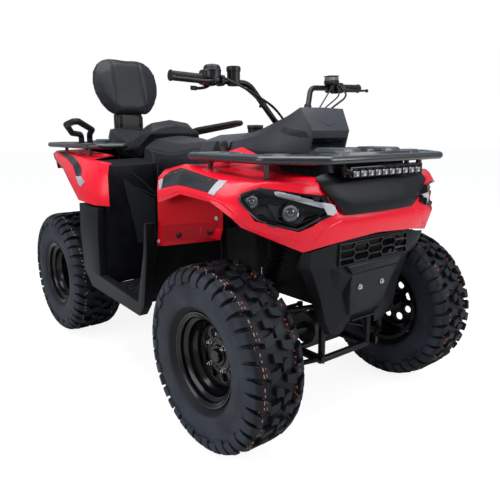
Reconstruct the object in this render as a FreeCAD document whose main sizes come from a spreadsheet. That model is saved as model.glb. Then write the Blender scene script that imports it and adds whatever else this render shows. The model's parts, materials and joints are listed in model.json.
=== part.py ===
import FreeCAD, Part
import math
import os
from types import SimpleNamespace
from FreeCAD import Vector, Rotation, Placement

# Quad bike, millimetres, +X forward, +Y left, +Z up
# Tables whose names end in Shares hold shares of body length, body width and rack height
# Body length follows the wheelbase

doc = FreeCAD.newDocument("QuadBike")
sheet = doc.addObject("Spreadsheet::Sheet", "Sizes")

# Driving sizes

sizes = {
    # Whole vehicle
    "wheelbase": 1440,
    "frontTrack": 960,
    "rearTrack": 834,
    "bodyWidth": 1000,
    "rackHeight": 1000,
    "datumShift": 30,
    "panelWall": 3,
    "seamGap": 0.3,
    "pinClearance": 0.05,
    # Tyres
    "tyreRadius": 320,
    "frontTyreWidth": 208,
    "rearTyreWidth": 250,
    "crownDepth": 18,
    "sidewallDepth": 48,
    "lugLength": 34,
    "lugDrop": 48,
    "lugSink": 6,
    "lugStand": 5,
    "blockLength": 42,
    "blockWidth": 26,
    # Rims
    "beadRadius": 152,
    "flangeRadius": 165,
    "flangeWall": 6,
    "rimWall": 5,
    "frontRimWidth": 162,
    "rearRimWidth": 223,
    "wellRadius": 126,
    "discRadius": 104,
    "discWall": 7,
    "discOffset": 12,
    "hubRadius": 38,
    "hubLength": 46,
    "spindleRadius": 15,
    "windowRadius": 17,
    "windowCircle": 78,
    # Suspension and drive
    "kingpinInset": 95,
    "pinRadius": 8,
    "upperPinHeight": 435,
    "lowerPinHeight": 205,
    "eyeRadius": 17,
    "eyeHeight": 20,
    "eyeStand": 4,
    "yokeRadius": 12,
    "armTip": 7,
    "armRadius": 10,
    "armSpread": 300,
    "upperRootHeight": 462,
    "lowerRootHeight": 262,
    "knuckleRadius": 44,
    "knuckleLength": 42,
    "ballRadius": 30,
    "ballGap": 0.4,
    "shaftRadius": 11,
    "driveRadius": 60,
    "driveLength": 150,
    "driveWidth": 170,
    "pinionRadius": 30,
    "pinionLength": 70,
    "bootLength": 60,
    "bootRadius": 26,
    "steerArmLength": 78,
    "steerArmWall": 9,
    "tieRodHeight": 388,
    "tieRodRadius": 7,
    "tieRodInnerHalf": 34,
    "tieEyeRadius": 12,
    "tieEyeHeight": 16,
    "tiePinRadius": 5,
    "springRadius": 33,
    "springWire": 7,
    "damperRadius": 15,
    "carrierInset": 120,
    # Steering
    "columnRadius": 14,
    "clampLength": 52,
    "clampWidth": 88,
    "clampHeight": 34,
    "pitmanLength": 78,
    "pitmanWall": 8,
    "barRadius": 11,
    "barBend": 50,
    "gripRadius": 17,
    "gripLength": 122,
    "cableRadius": 4,
    # Frame
    "railRadius": 16,
    "crossRadius": 13,
    "railHalf": 128,
    "lowerRailHeight": 246,
    "hitchWall": 8,
    "hitchBore": 20,
    # Engine, radiator, exhaust and skid plate
    "engineLength": 430,
    "engineWidth": 300,
    "cylinderLength": 170,
    "cylinderWidth": 190,
    "radiatorGap": 6,
    "radiatorWidth": 330,
    "radiatorHeight": 210,
    "silencerRadius": 66,
    "stayRadius": 9,
    "silencerLength": 380,
    "tailpipeRadius": 22,
    "exhaustRadius": 20,
    "skidWall": 5,
    "skidWidth": 300,
    # Racks
    "rackTube": 13,
    "rackPlate": 14,
    "rackPost": 9,
    "rackPad": 12,
    # Small solids
    "lampRadius": 27,
    "lampLength": 34,
    "lightBarWidth": 380,
    "lightBarHeight": 34,
    "lightBarDepth": 40,
    "lightCell": 30,
    "capRadius": 34,
    "capHeight": 26,
    "handleRadius": 19,
    "bracketRadius": 12,
    "boardWall": 6,
    "boardRib": 10,
    "grilleWall": 14,
    "grilleCell": 22,
    "grilleWeb": 6,
    "knobRadius": 20,
    "leverRadius": 8,
    "overrun": 40,
}

for index, (name, value) in enumerate(sizes.items()):
    cell = "A%d" % (index + 1)
    sheet.set(cell, str(value))
    sheet.setAlias(cell, name)
doc.recompute()
d = SimpleNamespace(**{name: float(sheet.get(name)) for name in sizes})

# Counts and angles
tyrePitches = 28
rimWindows = 8
flatShare = 0.0000001
blockTurn = 22
lengthShare = 25 / 18
upperRailShare = 0.8
engineRearShare = -0.105
bodyLength = lengthShare * d.wheelbase
upperRailHeight = upperRailShare * d.rackHeight
engineRearX = engineRearShare * bodyLength

frontAxleX = d.wheelbase / 2
rearAxleX = -d.wheelbase / 2
axleZ = d.tyreRadius
alongY = Vector(0, 1, 0)
upward = Vector(0, 0, 1)
forward = Vector(1, 0, 0)
subParts = []


# Shared helpers

def at(along, out, up):
    return Vector(along * bodyLength, out * d.bodyWidth, up * d.rackHeight)


def keep(item, label):
    item.Label = label
    item.Placement = Placement(Vector(d.datumShift, 0, 0), Rotation())
    subParts.append(item)
    return item


def shaped(label, solids):
    item = doc.addObject("Part::Feature", label)
    item.Shape = solids[0] if len(solids) == 1 else Part.makeCompound(solids)
    return keep(item, label)


def joined(solids):
    result = solids[0].multiFuse(solids[1:]).removeSplitter()
    found = result.Solids
    return found[0] if len(found) == 1 else result


def mirrored(shape):
    return shape.mirror(Vector(0, 0, 0), alongY)


def bothSides(shapes):
    return list(shapes) + [mirrored(shape) for shape in shapes]


def bar(start, end, radius):
    run = end - start
    return Part.makeCylinder(radius, run.Length, start, run)


def bentBars(points, radius):
    bars = [bar(a, b, radius) for a, b in zip(points, points[1:])]
    balls = [Part.makeSphere(radius, point) for point in points[1:-1]]
    return bars + balls


def bentPath(points, bend):
    edges = []
    last = points[0]
    for before, corner, after in zip(points, points[1:], points[2:]):
        back = (before - corner).normalize()
        ahead = (after - corner).normalize()
        half = back.getAngle(ahead) / 2
        radius = min(bend, 0.45 * min((before - corner).Length, (after - corner).Length) * math.tan(half))
        reach = radius / math.tan(half)
        start = corner + back * reach
        end = corner + ahead * reach
        middle = (back + ahead).normalize()
        centre = corner + middle * (radius / math.sin(half))
        apex = centre - middle * radius
        if (start - last).Length > 0.01 * radius:
            edges.append(Part.LineSegment(last, start).toShape())
        edges.append(Part.Arc(start, apex, end).toShape())
        last = end
    edges.append(Part.LineSegment(last, points[-1]).toShape())
    return Part.Wire(edges)


def bentTube(points, radius, bend):
    path = bentPath(points, bend)
    ring = Part.Wire([Part.Circle(points[0], points[1] - points[0], radius).toShape()])
    return path.makePipeShell([ring], True, False)


def face(points):
    return Part.Face(Part.makePolygon(points + [points[0]]))


def patch(a, b, c, e):
    flat = (b - a).cross(c - a)
    if flat.Length > 0 and abs((e - a).dot(flat.normalize())) < flatShare * d.seamGap:
        return [face([a, b, c, e])]
    return [face([a, b, c]), face([a, c, e])]


def closedSolid(faces):
    solid = Part.Solid(Part.Shell(faces))
    if solid.Volume < 0:
        solid.reverse()
    return solid


def gridShell(grid, wall):
    # Wall of even thickness under a grid of outer points
    rows = len(grid)
    columns = len(grid[0])
    inner = []
    for i in range(rows):
        line = []
        for j in range(columns):
            down = grid[min(i + 1, rows - 1)][j] - grid[max(i - 1, 0)][j]
            across = grid[i][min(j + 1, columns - 1)] - grid[i][max(j - 1, 0)]
            line.append(grid[i][j] + down.cross(across).normalize() * wall)
        inner.append(line)
    faces = []
    for i in range(rows - 1):
        for j in range(columns - 1):
            faces += patch(grid[i][j], grid[i + 1][j], grid[i + 1][j + 1], grid[i][j + 1])
            faces += patch(inner[i][j], inner[i][j + 1], inner[i + 1][j + 1], inner[i + 1][j])
    for i in range(rows - 1):
        for j in (0, columns - 1):
            faces += patch(grid[i][j], grid[i + 1][j], inner[i + 1][j], inner[i][j])
    for j in range(columns - 1):
        for i in (0, rows - 1):
            faces += patch(grid[i][j], grid[i][j + 1], inner[i][j + 1], inner[i][j])
    return closedSolid(faces)


def ringSolid(rings):
    # Closed solid through rings of equal point counts
    faces = []
    count = len(rings[0])
    for first, second in zip(rings, rings[1:]):
        for j in range(count):
            k = (j + 1) % count
            faces += patch(first[j], second[j], second[k], first[k])
    for ring in (rings[0], rings[-1]):
        centre = Vector(0, 0, 0)
        for point in ring:
            centre = centre + point * (1 / count)
        for j in range(count):
            faces.append(face([ring[j], ring[(j + 1) % count], centre]))
    return closedSolid(faces)


def symmetricRings(table):
    # Each row is a station and its half outline from the underside to the top
    rings = []
    for along, half in table:
        left = [at(along, out, up) for out, up in half]
        right = [Vector(point.x, -point.y, point.z) for point in reversed(left) if point.y > 0]
        rings.append(left + right)
    return rings


def toGrid(table):
    return [[at(*point) for point in row] for row in table]


def acrossGrid(table):
    # Rows run from the left edge to the middle and on to the mirrored right edge
    grid = []
    for row in table:
        left = [at(*point) for point in row]
        right = [Vector(point.x, -point.y, point.z) for point in reversed(left) if point.y > 0]
        grid.append(left + right)
    return grid


def slab(outline, height):
    return face(outline).extrude(height)


# Tyres

def facetRing(profile, count):
    # Ring of flat facets about the Y axis with one facet centred below
    step = 2 * math.pi / count
    faces = []
    rings = []
    for i in range(count):
        angle = -math.pi / 2 + (i - 0.5) * step
        grow = 1 / math.cos(step / 2)
        rings.append([Vector(r * grow * math.cos(angle), y, r * grow * math.sin(angle)) for y, r in profile])
    for i in range(count):
        first = rings[i]
        second = rings[(i + 1) % count]
        for j in range(len(profile)):
            k = (j + 1) % len(profile)
            faces.append(face([first[j], second[j], second[k], first[k]]))
    return closedSolid(faces)


def onFacet(index, count, side, along, radius):
    angle = -math.pi / 2 + index * 2 * math.pi / count
    radial = Vector(math.cos(angle), 0, math.sin(angle))
    tangent = Vector(-math.sin(angle), 0, math.cos(angle))
    return radial * radius + tangent * along + alongY * side


def lug(index, side, width):
    # Shoulder lug that wraps down onto the sidewall
    crown = d.tyreRadius - d.crownDepth
    half = d.lugLength / 2
    edge = width / 2
    outline = [
        (0.42 * edge, crown - d.lugSink),
        (0.42 * edge, d.tyreRadius),
        (0.68 * edge, d.tyreRadius),
        (0.91 * edge, d.tyreRadius - d.crownDepth),
        (edge + d.lugStand, d.tyreRadius - d.lugDrop),
        (0.90 * edge, d.tyreRadius - d.lugDrop - d.crownDepth),
    ]
    start = [onFacet(index, tyrePitches, side * y, -half, r) for y, r in outline]
    run = onFacet(index, tyrePitches, 0, 2 * half, 0)
    return face(start).extrude(run)


def block(index, side):
    # Centre block turned across the facet
    turn = math.radians(blockTurn) * side
    corners = []
    for a, b in ((-1, -1), (1, -1), (1, 1), (-1, 1)):
        u = a * d.blockWidth / 2
        v = b * d.blockLength / 2
        along = u * math.cos(turn) - v * math.sin(turn)
        out = u * math.sin(turn) + v * math.cos(turn) + side * d.blockLength / 3
        corners.append(onFacet(index, tyrePitches, out, along, d.tyreRadius - d.crownDepth - d.lugSink))
    return face(corners).extrude(onFacet(index, tyrePitches, 0, 0, d.crownDepth + d.lugSink))


def tyre(width, rimWidth):
    half = width / 2
    seat = rimWidth / 2 - d.flangeWall - d.seamGap
    crown = d.tyreRadius - d.crownDepth
    left = [
        (seat, d.beadRadius + d.seamGap),
        (seat, d.flangeRadius + d.seamGap),
        (0.99 * half, d.tyreRadius - 2 * d.sidewallDepth),
        (0.93 * half, d.tyreRadius - 1.15 * d.sidewallDepth),
        (0.64 * half, crown),
    ]
    right = [(-y, r) for y, r in reversed(left)]
    solids = [facetRing(left + right, tyrePitches)]
    for index in range(tyrePitches):
        side = 1 if index % 2 else -1
        solids.append(lug(index, side, width))
        if index % 2 == 0:
            solids.append(block(index, 1 if index % 4 else -1))
    return solids[0].multiFuse(solids[1:]).Solids[0]


def rim(width):
    edge = width / 2
    flange = edge - d.flangeWall
    well = 0.30 * width
    disc = d.discOffset
    profile = [
        (edge, d.flangeRadius),
        (flange, d.flangeRadius),
        (flange, d.beadRadius),
        (-flange, d.beadRadius),
        (-flange, d.flangeRadius),
        (-edge, d.flangeRadius),
        (-edge, d.beadRadius - d.rimWall),
        (-well, d.beadRadius - d.rimWall),
        (-0.7 * well, d.wellRadius - d.rimWall),
        (0.7 * well, d.wellRadius - d.rimWall),
        (well, d.beadRadius - d.rimWall),
        (edge, d.beadRadius - d.rimWall),
    ]
    barrel = facetRing(profile, tyrePitches)
    plate = facetRing([
        (disc, d.hubRadius / 2),
        (disc, d.discRadius),
        (0.5 * disc, d.wellRadius - d.rimWall / 2),
        (0.5 * disc - d.discWall, d.wellRadius - d.rimWall / 2),
        (disc - d.discWall, d.discRadius),
        (disc - d.discWall, d.hubRadius / 2),
    ], tyrePitches)
    for index in range(rimWindows):
        angle = math.radians(360 * (index + 0.5) / rimWindows)
        centre = Vector(d.windowCircle * math.cos(angle), -d.overrun, d.windowCircle * math.sin(angle))
        corners = []
        for corner in range(6):
            turn = angle + math.radians(60 * corner)
            corners.append(centre + Vector(math.cos(turn), 0, math.sin(turn)) * d.windowRadius)
        plate = plate.cut(slab(corners, alongY * 3 * d.overrun))
    hub = Part.makeCylinder(d.hubRadius, d.hubLength, Vector(0, disc - d.hubLength, 0), alongY)
    solid = joined([barrel, plate, hub])
    bore = Part.makeCylinder(d.spindleRadius + d.pinClearance, 3 * d.overrun + d.hubLength,
                             Vector(0, -d.hubLength - d.overrun, 0), alongY)
    return solid.cut(bore).Solids[0]


def wheelPlace(axle, track, side):
    # Outer face turned outboard on both sides
    turn = Rotation(upward, 0 if side > 0 else 180)
    return Placement(Vector(axle + d.datumShift, side * track / 2, axleZ), turn)


tyreFront = tyre(d.frontTyreWidth, d.frontRimWidth)
tyreRear = tyre(d.rearTyreWidth, d.rearRimWidth)
rimFront = rim(d.frontRimWidth)
rimRear = rim(d.rearRimWidth)
wheels = [
    ("front_right", tyreFront, rimFront, frontAxleX, d.frontTrack, -1),
    ("front_left", tyreFront, rimFront, frontAxleX, d.frontTrack, 1),
    ("rear_right", tyreRear, rimRear, rearAxleX, d.rearTrack, -1),
    ("rear_left", tyreRear, rimRear, rearAxleX, d.rearTrack, 1),
]
for name, tyreShape, rimShape, axle, track, side in wheels:
    for kind, shape in (("tyre", tyreShape), ("rim", rimShape)):
        item = shaped("%s_%s" % (kind, name), [shape.copy()])
        item.Placement = wheelPlace(axle, track, side)


# Frame: two side trusses in the planes of the rails, with members coped between and around them

frontX = frontAxleX + d.armSpread / 2 - d.railRadius
rearX = rearAxleX + d.armSpread / 2
tailX = rearAxleX - d.armSpread / 2
midX = engineRearX - 2 * d.railRadius
chestX = engineRearX + d.engineLength + 3 * d.railRadius
rearPostX = -0.450 * bodyLength
saddleShares = [(-0.130, 0, 0.850), (0.035, 0, 0.850), (-0.355, 0, 0.940), (-0.215, 0, 0.940), (0.150, 0, 1.0355)]


def inRail(x, z):
    return Vector(x, d.railHalf, z)


def acrossBar(x, z, radius, reach):
    return bar(Vector(x, -reach, z), Vector(x, reach, z), radius)


def saddleTop(share):
    point = at(*share)
    return Vector(point.x, 0, point.z - d.crossRadius - d.seamGap)


def sideTruss(extra):
    low = d.lowerRailHeight
    high = upperRailHeight
    bars = [
        bar(inRail(tailX - extra, low), inRail(frontX + extra, low), d.railRadius + extra),
        bar(inRail(tailX - 1.2 * d.driveLength - extra, high), inRail(frontX + extra, high), d.railRadius + extra),
    ]
    for x in (tailX, rearX, midX, chestX, frontAxleX - d.armSpread / 2, frontX):
        bars.append(bar(inRail(x, low), inRail(x, high), d.crossRadius + extra))
    rackTop = 0.985 * d.rackHeight - d.rackPlate - d.seamGap
    rearTop = 1.002 * d.rackHeight - d.rackPlate - d.seamGap
    bars.append(bar(inRail(frontX, high), inRail(frontX, rackTop), d.stayRadius + extra))
    bars.append(bar(inRail(rearPostX, high), inRail(rearPostX, rearTop), d.stayRadius + extra))
    for share in saddleShares:
        top = saddleTop(share)
        bars.append(bar(inRail(top.x, high), inRail(top.x, top.z), 0.9 * d.crossRadius + extra))
    truss = joined(bars)
    for share in saddleShares:
        top = saddleTop(share)
        truss = truss.cut(acrossBar(top.x, top.z, d.crossRadius + d.seamGap - extra, 2 * d.railHalf))
    return max(truss.Solids, key=lambda solid: solid.Volume)


truss = sideTruss(0)
trussRoom = sideTruss(d.seamGap)
shaped("frame", bothSides([truss]))


def coped(solid):
    trimmed = solid.cut(trussRoom).cut(mirrored(trussRoom))
    return max(trimmed.Solids, key=lambda piece: piece.Volume)


def outrigger(along):
    bend = at(along, 0.420, 0.384)
    bend.z = bend.z - d.stayRadius - d.seamGap
    return joined(bentBars([inRail(bend.x, d.lowerRailHeight), Vector(bend.x, 0.290 * d.bodyWidth, bend.z), bend],
                           d.stayRadius))


columnFoot = at(0.351, 0, 0.436)
columnTop = at(0.2725, 0, 1.084)
columnWay = (columnTop - columnFoot).normalize()
bearingMid = columnFoot + columnWay * ((upperRailHeight - columnFoot.z) / columnWay.z)
sleeve = bar(bearingMid - columnWay * (2 * d.railRadius), bearingMid + columnWay * (2 * d.railRadius),
             1.5 * d.columnRadius)
columnHole = bar(columnFoot, columnTop, d.columnRadius + d.pinClearance)
bearer = joined([acrossBar(bearingMid.x, upperRailHeight, d.crossRadius, d.railHalf), sleeve]).cut(columnHole)

hitchX = tailX - d.railRadius
hitchPlate = Part.makeBox(2.4 * d.hitchBore + d.railRadius, 3 * d.hitchBore, d.hitchWall,
                          Vector(hitchX - 2.4 * d.hitchBore, -1.5 * d.hitchBore, d.lowerRailHeight))
hitchHole = Part.makeCylinder(d.hitchBore / 2, 3 * d.hitchWall,
                              Vector(hitchX - 1.3 * d.hitchBore, 0, d.lowerRailHeight - d.hitchWall))
hitchBar = acrossBar(tailX, d.lowerRailHeight, d.crossRadius, d.railHalf)
members = [coped(joined([hitchBar, hitchPlate]).cut(hitchHole)), coped(bearer)]
for x in (rearX, midX, chestX, frontX):
    members.append(coped(acrossBar(x, d.lowerRailHeight, d.crossRadius, d.railHalf)))
for x in (tailX, rearX, midX, chestX, frontX):
    members.append(coped(acrossBar(x, upperRailHeight, d.crossRadius, d.railHalf)))
for x in (frontAxleX, rearAxleX):
    cradle = axleZ - d.driveRadius - d.crossRadius - d.seamGap
    members.append(coped(acrossBar(x, cradle, d.crossRadius, d.railHalf)))
for share in saddleShares:
    top = saddleTop(share)
    members.append(acrossBar(top.x, top.z, d.crossRadius, d.railHalf + d.crossRadius))
stays = [
    bar(inRail(frontX, 0.860 * d.rackHeight), at(0.395, 0.395, 0.9088), d.stayRadius),
    bar(inRail(rearPostX, 0.900 * d.rackHeight), at(-0.430, 0.345, 0.9490), d.stayRadius),
    bar(inRail(frontX, 0.500 * d.rackHeight), at(0.4637, 0.128, 0.500), d.stayRadius),
    outrigger(-0.030),
    outrigger(0.100),
]
shaped("frame_cross_members", members + bothSides([coped(stay) for stay in stays]))


# Engine

engineShare = 0.38
cylinderShare = 0.12
engine = doc.addObject("Part::Box", "EngineCase")
engine.setExpression("Length", "Sizes.engineLength")
engine.setExpression("Width", "Sizes.engineWidth - 2 * Sizes.railRadius - 2 * Sizes.crossRadius")
engine.setExpression("Height", "%s * Sizes.rackHeight" % engineShare)
engine.setExpression("Placement.Base.x", "%s * Sizes.wheelbase" % (engineRearShare * lengthShare))
engine.setExpression("Placement.Base.y", "-Sizes.engineWidth / 2 + Sizes.railRadius + Sizes.crossRadius")
engine.setExpression("Placement.Base.z", "Sizes.lowerRailHeight + Sizes.railRadius + Sizes.seamGap")
cylinder = doc.addObject("Part::Box", "EngineCylinder")
cylinder.setExpression("Length", "Sizes.cylinderLength")
cylinder.setExpression("Width", "Sizes.cylinderWidth")
cylinder.setExpression("Height", "%s * Sizes.rackHeight" % cylinderShare)
cylinder.setExpression("Placement.Base.x", "%s * Sizes.wheelbase + Sizes.engineLength / 3"
                       % (engineRearShare * lengthShare))
cylinder.setExpression("Placement.Base.y", "-Sizes.cylinderWidth / 2")
cylinder.setExpression("Placement.Base.z",
                       "Sizes.lowerRailHeight + Sizes.railRadius + Sizes.seamGap + %s * Sizes.rackHeight"
                       % engineShare)
engineBlock = doc.addObject("Part::MultiFuse", "EngineBlock")
engineBlock.Shapes = [engine, cylinder]
keep(engineBlock, "engine")


# Final drives

def finalDrive(axle, way):
    mid = Vector(axle, 0, axleZ)
    case = Part.makeCylinder(d.driveRadius, d.driveWidth, mid - alongY * (d.driveWidth / 2), alongY)
    nose = bar(mid, mid + forward * (way * (d.driveRadius + d.pinionLength)), d.pinionRadius)
    return joined([case, nose])


shaped("final_drives", [finalDrive(frontAxleX, -1), finalDrive(rearAxleX, 1)])


# Suspension arms, hub carriers and knuckles

braceShare = 0.36
kingpinY = d.frontTrack / 2 - d.kingpinInset
carrierY = d.rearTrack / 2 - d.carrierInset


def eye(x, y, z):
    return Part.makeCylinder(d.eyeRadius, d.eyeHeight, Vector(x, y, z - d.eyeHeight / 2))


def tapered(start, end, startRadius, endRadius):
    run = end - start
    return Part.makeCone(startRadius, endRadius, run.Length, start, run)


def wishbone(axle, endY, endZ, rootZ, seatRadius, braced):
    end = Vector(axle, endY, endZ)
    solids = [eye(axle, endY, endZ)]
    rootY = d.railHalf + seatRadius + d.seamGap
    for way in (-1, 1):
        root = Vector(axle + way * d.armSpread / 2, rootY, rootZ)
        leg = tapered(root, end, d.armRadius, d.armTip)
        if braced:
            solids.append(bar(end + (root - end) * braceShare, Vector(axle, endY, endZ)
                              + (Vector(axle, rootY, rootZ) - end) * braceShare, d.armRadius))
        boss = Part.makeCylinder(1.6 * d.armRadius, 3 * d.armRadius, root - forward * (1.5 * d.armRadius), forward)
        wall = Part.makeBox(6 * d.armRadius, d.overrun, 6 * d.armRadius,
                            root - Vector(3 * d.armRadius, d.overrun, 3 * d.armRadius))
        solids += [leg.cut(wall), boss.cut(wall)]
    arm = joined(solids)
    hole = Part.makeCylinder(d.pinRadius + d.pinClearance, 3 * d.eyeHeight,
                             Vector(axle, endY, endZ - 1.5 * d.eyeHeight))
    return arm.cut(hole).Solids[0]


def spindleEnd(track):
    return track / 2 + d.discOffset + d.discWall


def upright(axle, pinY, track):
    # Housing, pins above and below, and the spindle the wheel turns on
    mid = Vector(axle, pinY, axleZ)
    housing = Part.makeCylinder(d.knuckleRadius, d.knuckleLength, mid - alongY * (d.knuckleLength / 4), alongY)
    inner = Part.makeCylinder(d.ballRadius, d.ballRadius, mid - alongY * d.ballRadius, alongY)
    ball = Part.makeSphere(d.ballRadius + d.ballGap, mid)
    solids = [housing]
    for way, pinZ in ((1, d.upperPinHeight), (-1, d.lowerPinHeight)):
        stop = pinZ - way * (d.eyeHeight / 2 + d.eyeStand)
        solids.append(bar(Vector(axle, pinY, axleZ + way * d.knuckleRadius * 0.8), Vector(axle, pinY, stop),
                          d.yokeRadius))
        solids.append(bar(Vector(axle, pinY, stop), Vector(axle, pinY, pinZ + way * d.eyeHeight / 2), d.pinRadius))
    spindle = Part.makeCylinder(d.spindleRadius, spindleEnd(track) - pinY - d.ballRadius,
                                Vector(axle, pinY + d.ballRadius, axleZ), alongY)
    solids.append(spindle)
    return joined(solids).cut(ball).cut(inner)


def steerArm(pinY):
    tip = Vector(frontAxleX - d.steerArmLength, pinY, d.tieRodHeight - d.tieEyeHeight / 2 - d.seamGap)
    base = tip - upward * d.steerArmWall
    plate = Part.makeBox(d.steerArmLength, 2 * d.tieEyeRadius, d.steerArmWall, base - alongY * d.tieEyeRadius)
    end = Part.makeCylinder(d.tieEyeRadius, d.steerArmWall, base)
    pin = bar(base, tip + upward * d.tieEyeHeight, d.tiePinRadius)
    return [plate, end, pin]


knucklePin = Vector(frontAxleX, kingpinY, axleZ)
knuckle = upright(frontAxleX, kingpinY, d.frontTrack)
ballRoom = Part.makeSphere(d.ballRadius + d.ballGap, knucklePin)
knuckle = joined([knuckle] + steerArm(kingpinY)).cut(ballRoom)
knuckle = max(knuckle.Solids, key=lambda solid: solid.Volume)
shaped("knuckle_left", [knuckle])
shaped("knuckle_right", [mirrored(knuckle)])

arms = []
for axle, endY in ((frontAxleX, kingpinY), (rearAxleX, carrierY)):
    arms.append(wishbone(axle, endY, d.upperPinHeight, d.upperRootHeight, d.crossRadius, True))
    arms.append(wishbone(axle, endY, d.lowerPinHeight, d.lowerRootHeight, d.railRadius, False))
shaped("suspension_arms", bothSides(arms))

carrier = upright(rearAxleX, carrierY, d.rearTrack)
carrier = max(carrier.Solids, key=lambda solid: solid.Volume)
shaped("hub_carriers", bothSides([carrier]))


# Half shafts with boots

def halfShaft(axle, endY):
    inner = Vector(axle, d.driveWidth / 2 + d.seamGap, axleZ)
    outer = Vector(axle, endY, axleZ)
    shaft = bar(inner, outer, d.shaftRadius)
    ball = Part.makeSphere(d.ballRadius, outer)
    boots = [
        Part.makeCone(d.bootRadius, d.shaftRadius + d.springWire / 2, d.bootLength, inner, alongY),
        Part.makeCone(d.shaftRadius + d.springWire / 2, d.bootRadius * 0.8, d.bootLength * 0.6,
                      outer - alongY * (d.ballRadius + 0.55 * d.bootLength), alongY),
    ]
    return joined([shaft, ball] + boots)


shaped("half_shafts", bothSides([halfShaft(frontAxleX, kingpinY), halfShaft(rearAxleX, carrierY)]))


# Shock absorbers

def shock(foot, head):
    run = head - foot
    way = Vector(run).normalize()
    pitch = 2.4 * d.springWire
    turns = int(0.62 * run.Length / pitch)
    solids = [
        bar(foot, head, 0.8 * d.damperRadius),
        Part.makeCylinder(d.damperRadius, 2 * d.damperRadius, foot - forward * d.damperRadius, forward),
        Part.makeCylinder(d.damperRadius, 2 * d.damperRadius, head - forward * d.damperRadius, forward),
        bar(foot + way * (0.20 * run.Length), foot + way * (0.20 * run.Length + d.springWire), d.springRadius),
        bar(head - way * (0.12 * run.Length), head - way * (0.12 * run.Length - d.springWire), d.springRadius),
    ]
    for turn in range(turns):
        centre = foot + way * (0.24 * run.Length + turn * pitch)
        low = Part.makeCone(d.damperRadius, d.springRadius, pitch / 2, centre, way)
        high = Part.makeCone(d.springRadius, d.damperRadius, pitch / 2, centre + way * (pitch / 2), way)
        solids += [low, high]
    return joined(solids)


def armShock(axle, endY):
    # From the brace of the upper arm to the upper rail
    rootY = d.railHalf + d.crossRadius + d.seamGap
    footY = endY + (rootY - endY) * braceShare
    footZ = d.upperPinHeight + (d.upperRootHeight - d.upperPinHeight) * braceShare
    foot = Vector(axle, footY, footZ + d.armRadius + d.damperRadius + d.seamGap)
    head = Vector(axle, d.railHalf + d.railRadius + d.damperRadius + d.seamGap, upperRailHeight)
    return shock(foot, head)


shaped("shock_absorbers", bothSides([armShock(frontAxleX, kingpinY), armShock(rearAxleX, carrierY)]))


# Steering column, bar, grips and controls

columnTurn = Rotation(upward, columnWay)


def columnBox(length, width, height, offset, centre):
    box = Part.makeBox(length, width, height, Vector(offset - length / 2, -width / 2, -height / 2))
    box.Placement = Placement(centre, columnTurn)
    return box


pitman = columnBox(d.pitmanLength + 2 * d.columnRadius, 2 * d.tieRodInnerHalf + 2 * d.tieEyeRadius, d.pitmanWall,
                   -d.pitmanLength / 2 + d.columnRadius, columnFoot)
clamp = columnBox(d.clampLength, d.clampWidth, d.clampHeight, 0, columnTop)
barHole = Part.makeCylinder(d.barRadius + d.seamGap, d.clampWidth + 2 * d.overrun,
                            columnTop - alongY * (d.clampWidth / 2 + d.overrun), alongY)
column = joined([bar(columnFoot, columnTop, d.columnRadius), pitman, clamp]).cut(barHole).Solids[0]
shaped("steering_column", [column])

barShares = [(0.2285, 0.485, 1.251), (0.240, 0.165, 1.238), (0.2665, 0.072, 1.092)]
barLeft = [at(*point) for point in barShares]
barRight = [Vector(point.x, -point.y, point.z) for point in reversed(barLeft)]
barLeft[2] = Vector(columnTop.x, barLeft[2].y, columnTop.z)
barRight[0] = Vector(columnTop.x, barRight[0].y, columnTop.z)
shaped("handlebar", [bentTube(barLeft + barRight, d.barRadius, d.barBend)])

barEnd = barLeft[0]
barInner = barLeft[1]
barWay = (barInner - barEnd).normalize()


def aroundBar(start, length, radius):
    base = barEnd + barWay * start
    sleeve = Part.makeCylinder(radius, length, base, barWay)
    hole = Part.makeCylinder(d.barRadius + d.seamGap, length + 2 * d.overrun, base - barWay * d.overrun, barWay)
    return sleeve.cut(hole)


grip = Part.makeCylinder(d.gripRadius, d.gripLength, barEnd - barWay * d.springWire, barWay)
grip = grip.cut(Part.makeCylinder(d.barRadius + d.seamGap, d.gripLength, barEnd - barWay * d.seamGap, barWay))
shaped("grips", bothSides([grip]))


def lever(start):
    base = barEnd + barWay * start
    root = base + forward * (1.4 * d.gripRadius)
    knee = root + forward * (1.6 * d.gripRadius) + upward * (-0.8 * d.gripRadius)
    tip = knee - barWay * (start + 0.9 * d.gripRadius)
    solids = bentBars([root, knee, tip], d.tiePinRadius)
    solids.append(Part.makeSphere(d.tieEyeRadius, tip))
    return solids


def control(start, length, radius, block):
    sleeve = aroundBar(start, length, radius)
    hole = Part.makeCylinder(d.barRadius + d.seamGap, 3 * length + 2 * d.overrun,
                             barEnd + barWay * (start - d.overrun), barWay)
    return joined([sleeve] + block).cut(hole)


def boxAt(start, length, depth, height, lift, ahead):
    centre = barEnd + barWay * (start + length / 2) + upward * lift + forward * ahead
    return Part.makeBox(depth, length, height, centre - Vector(depth / 2, length / 2, height / 2))


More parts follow.
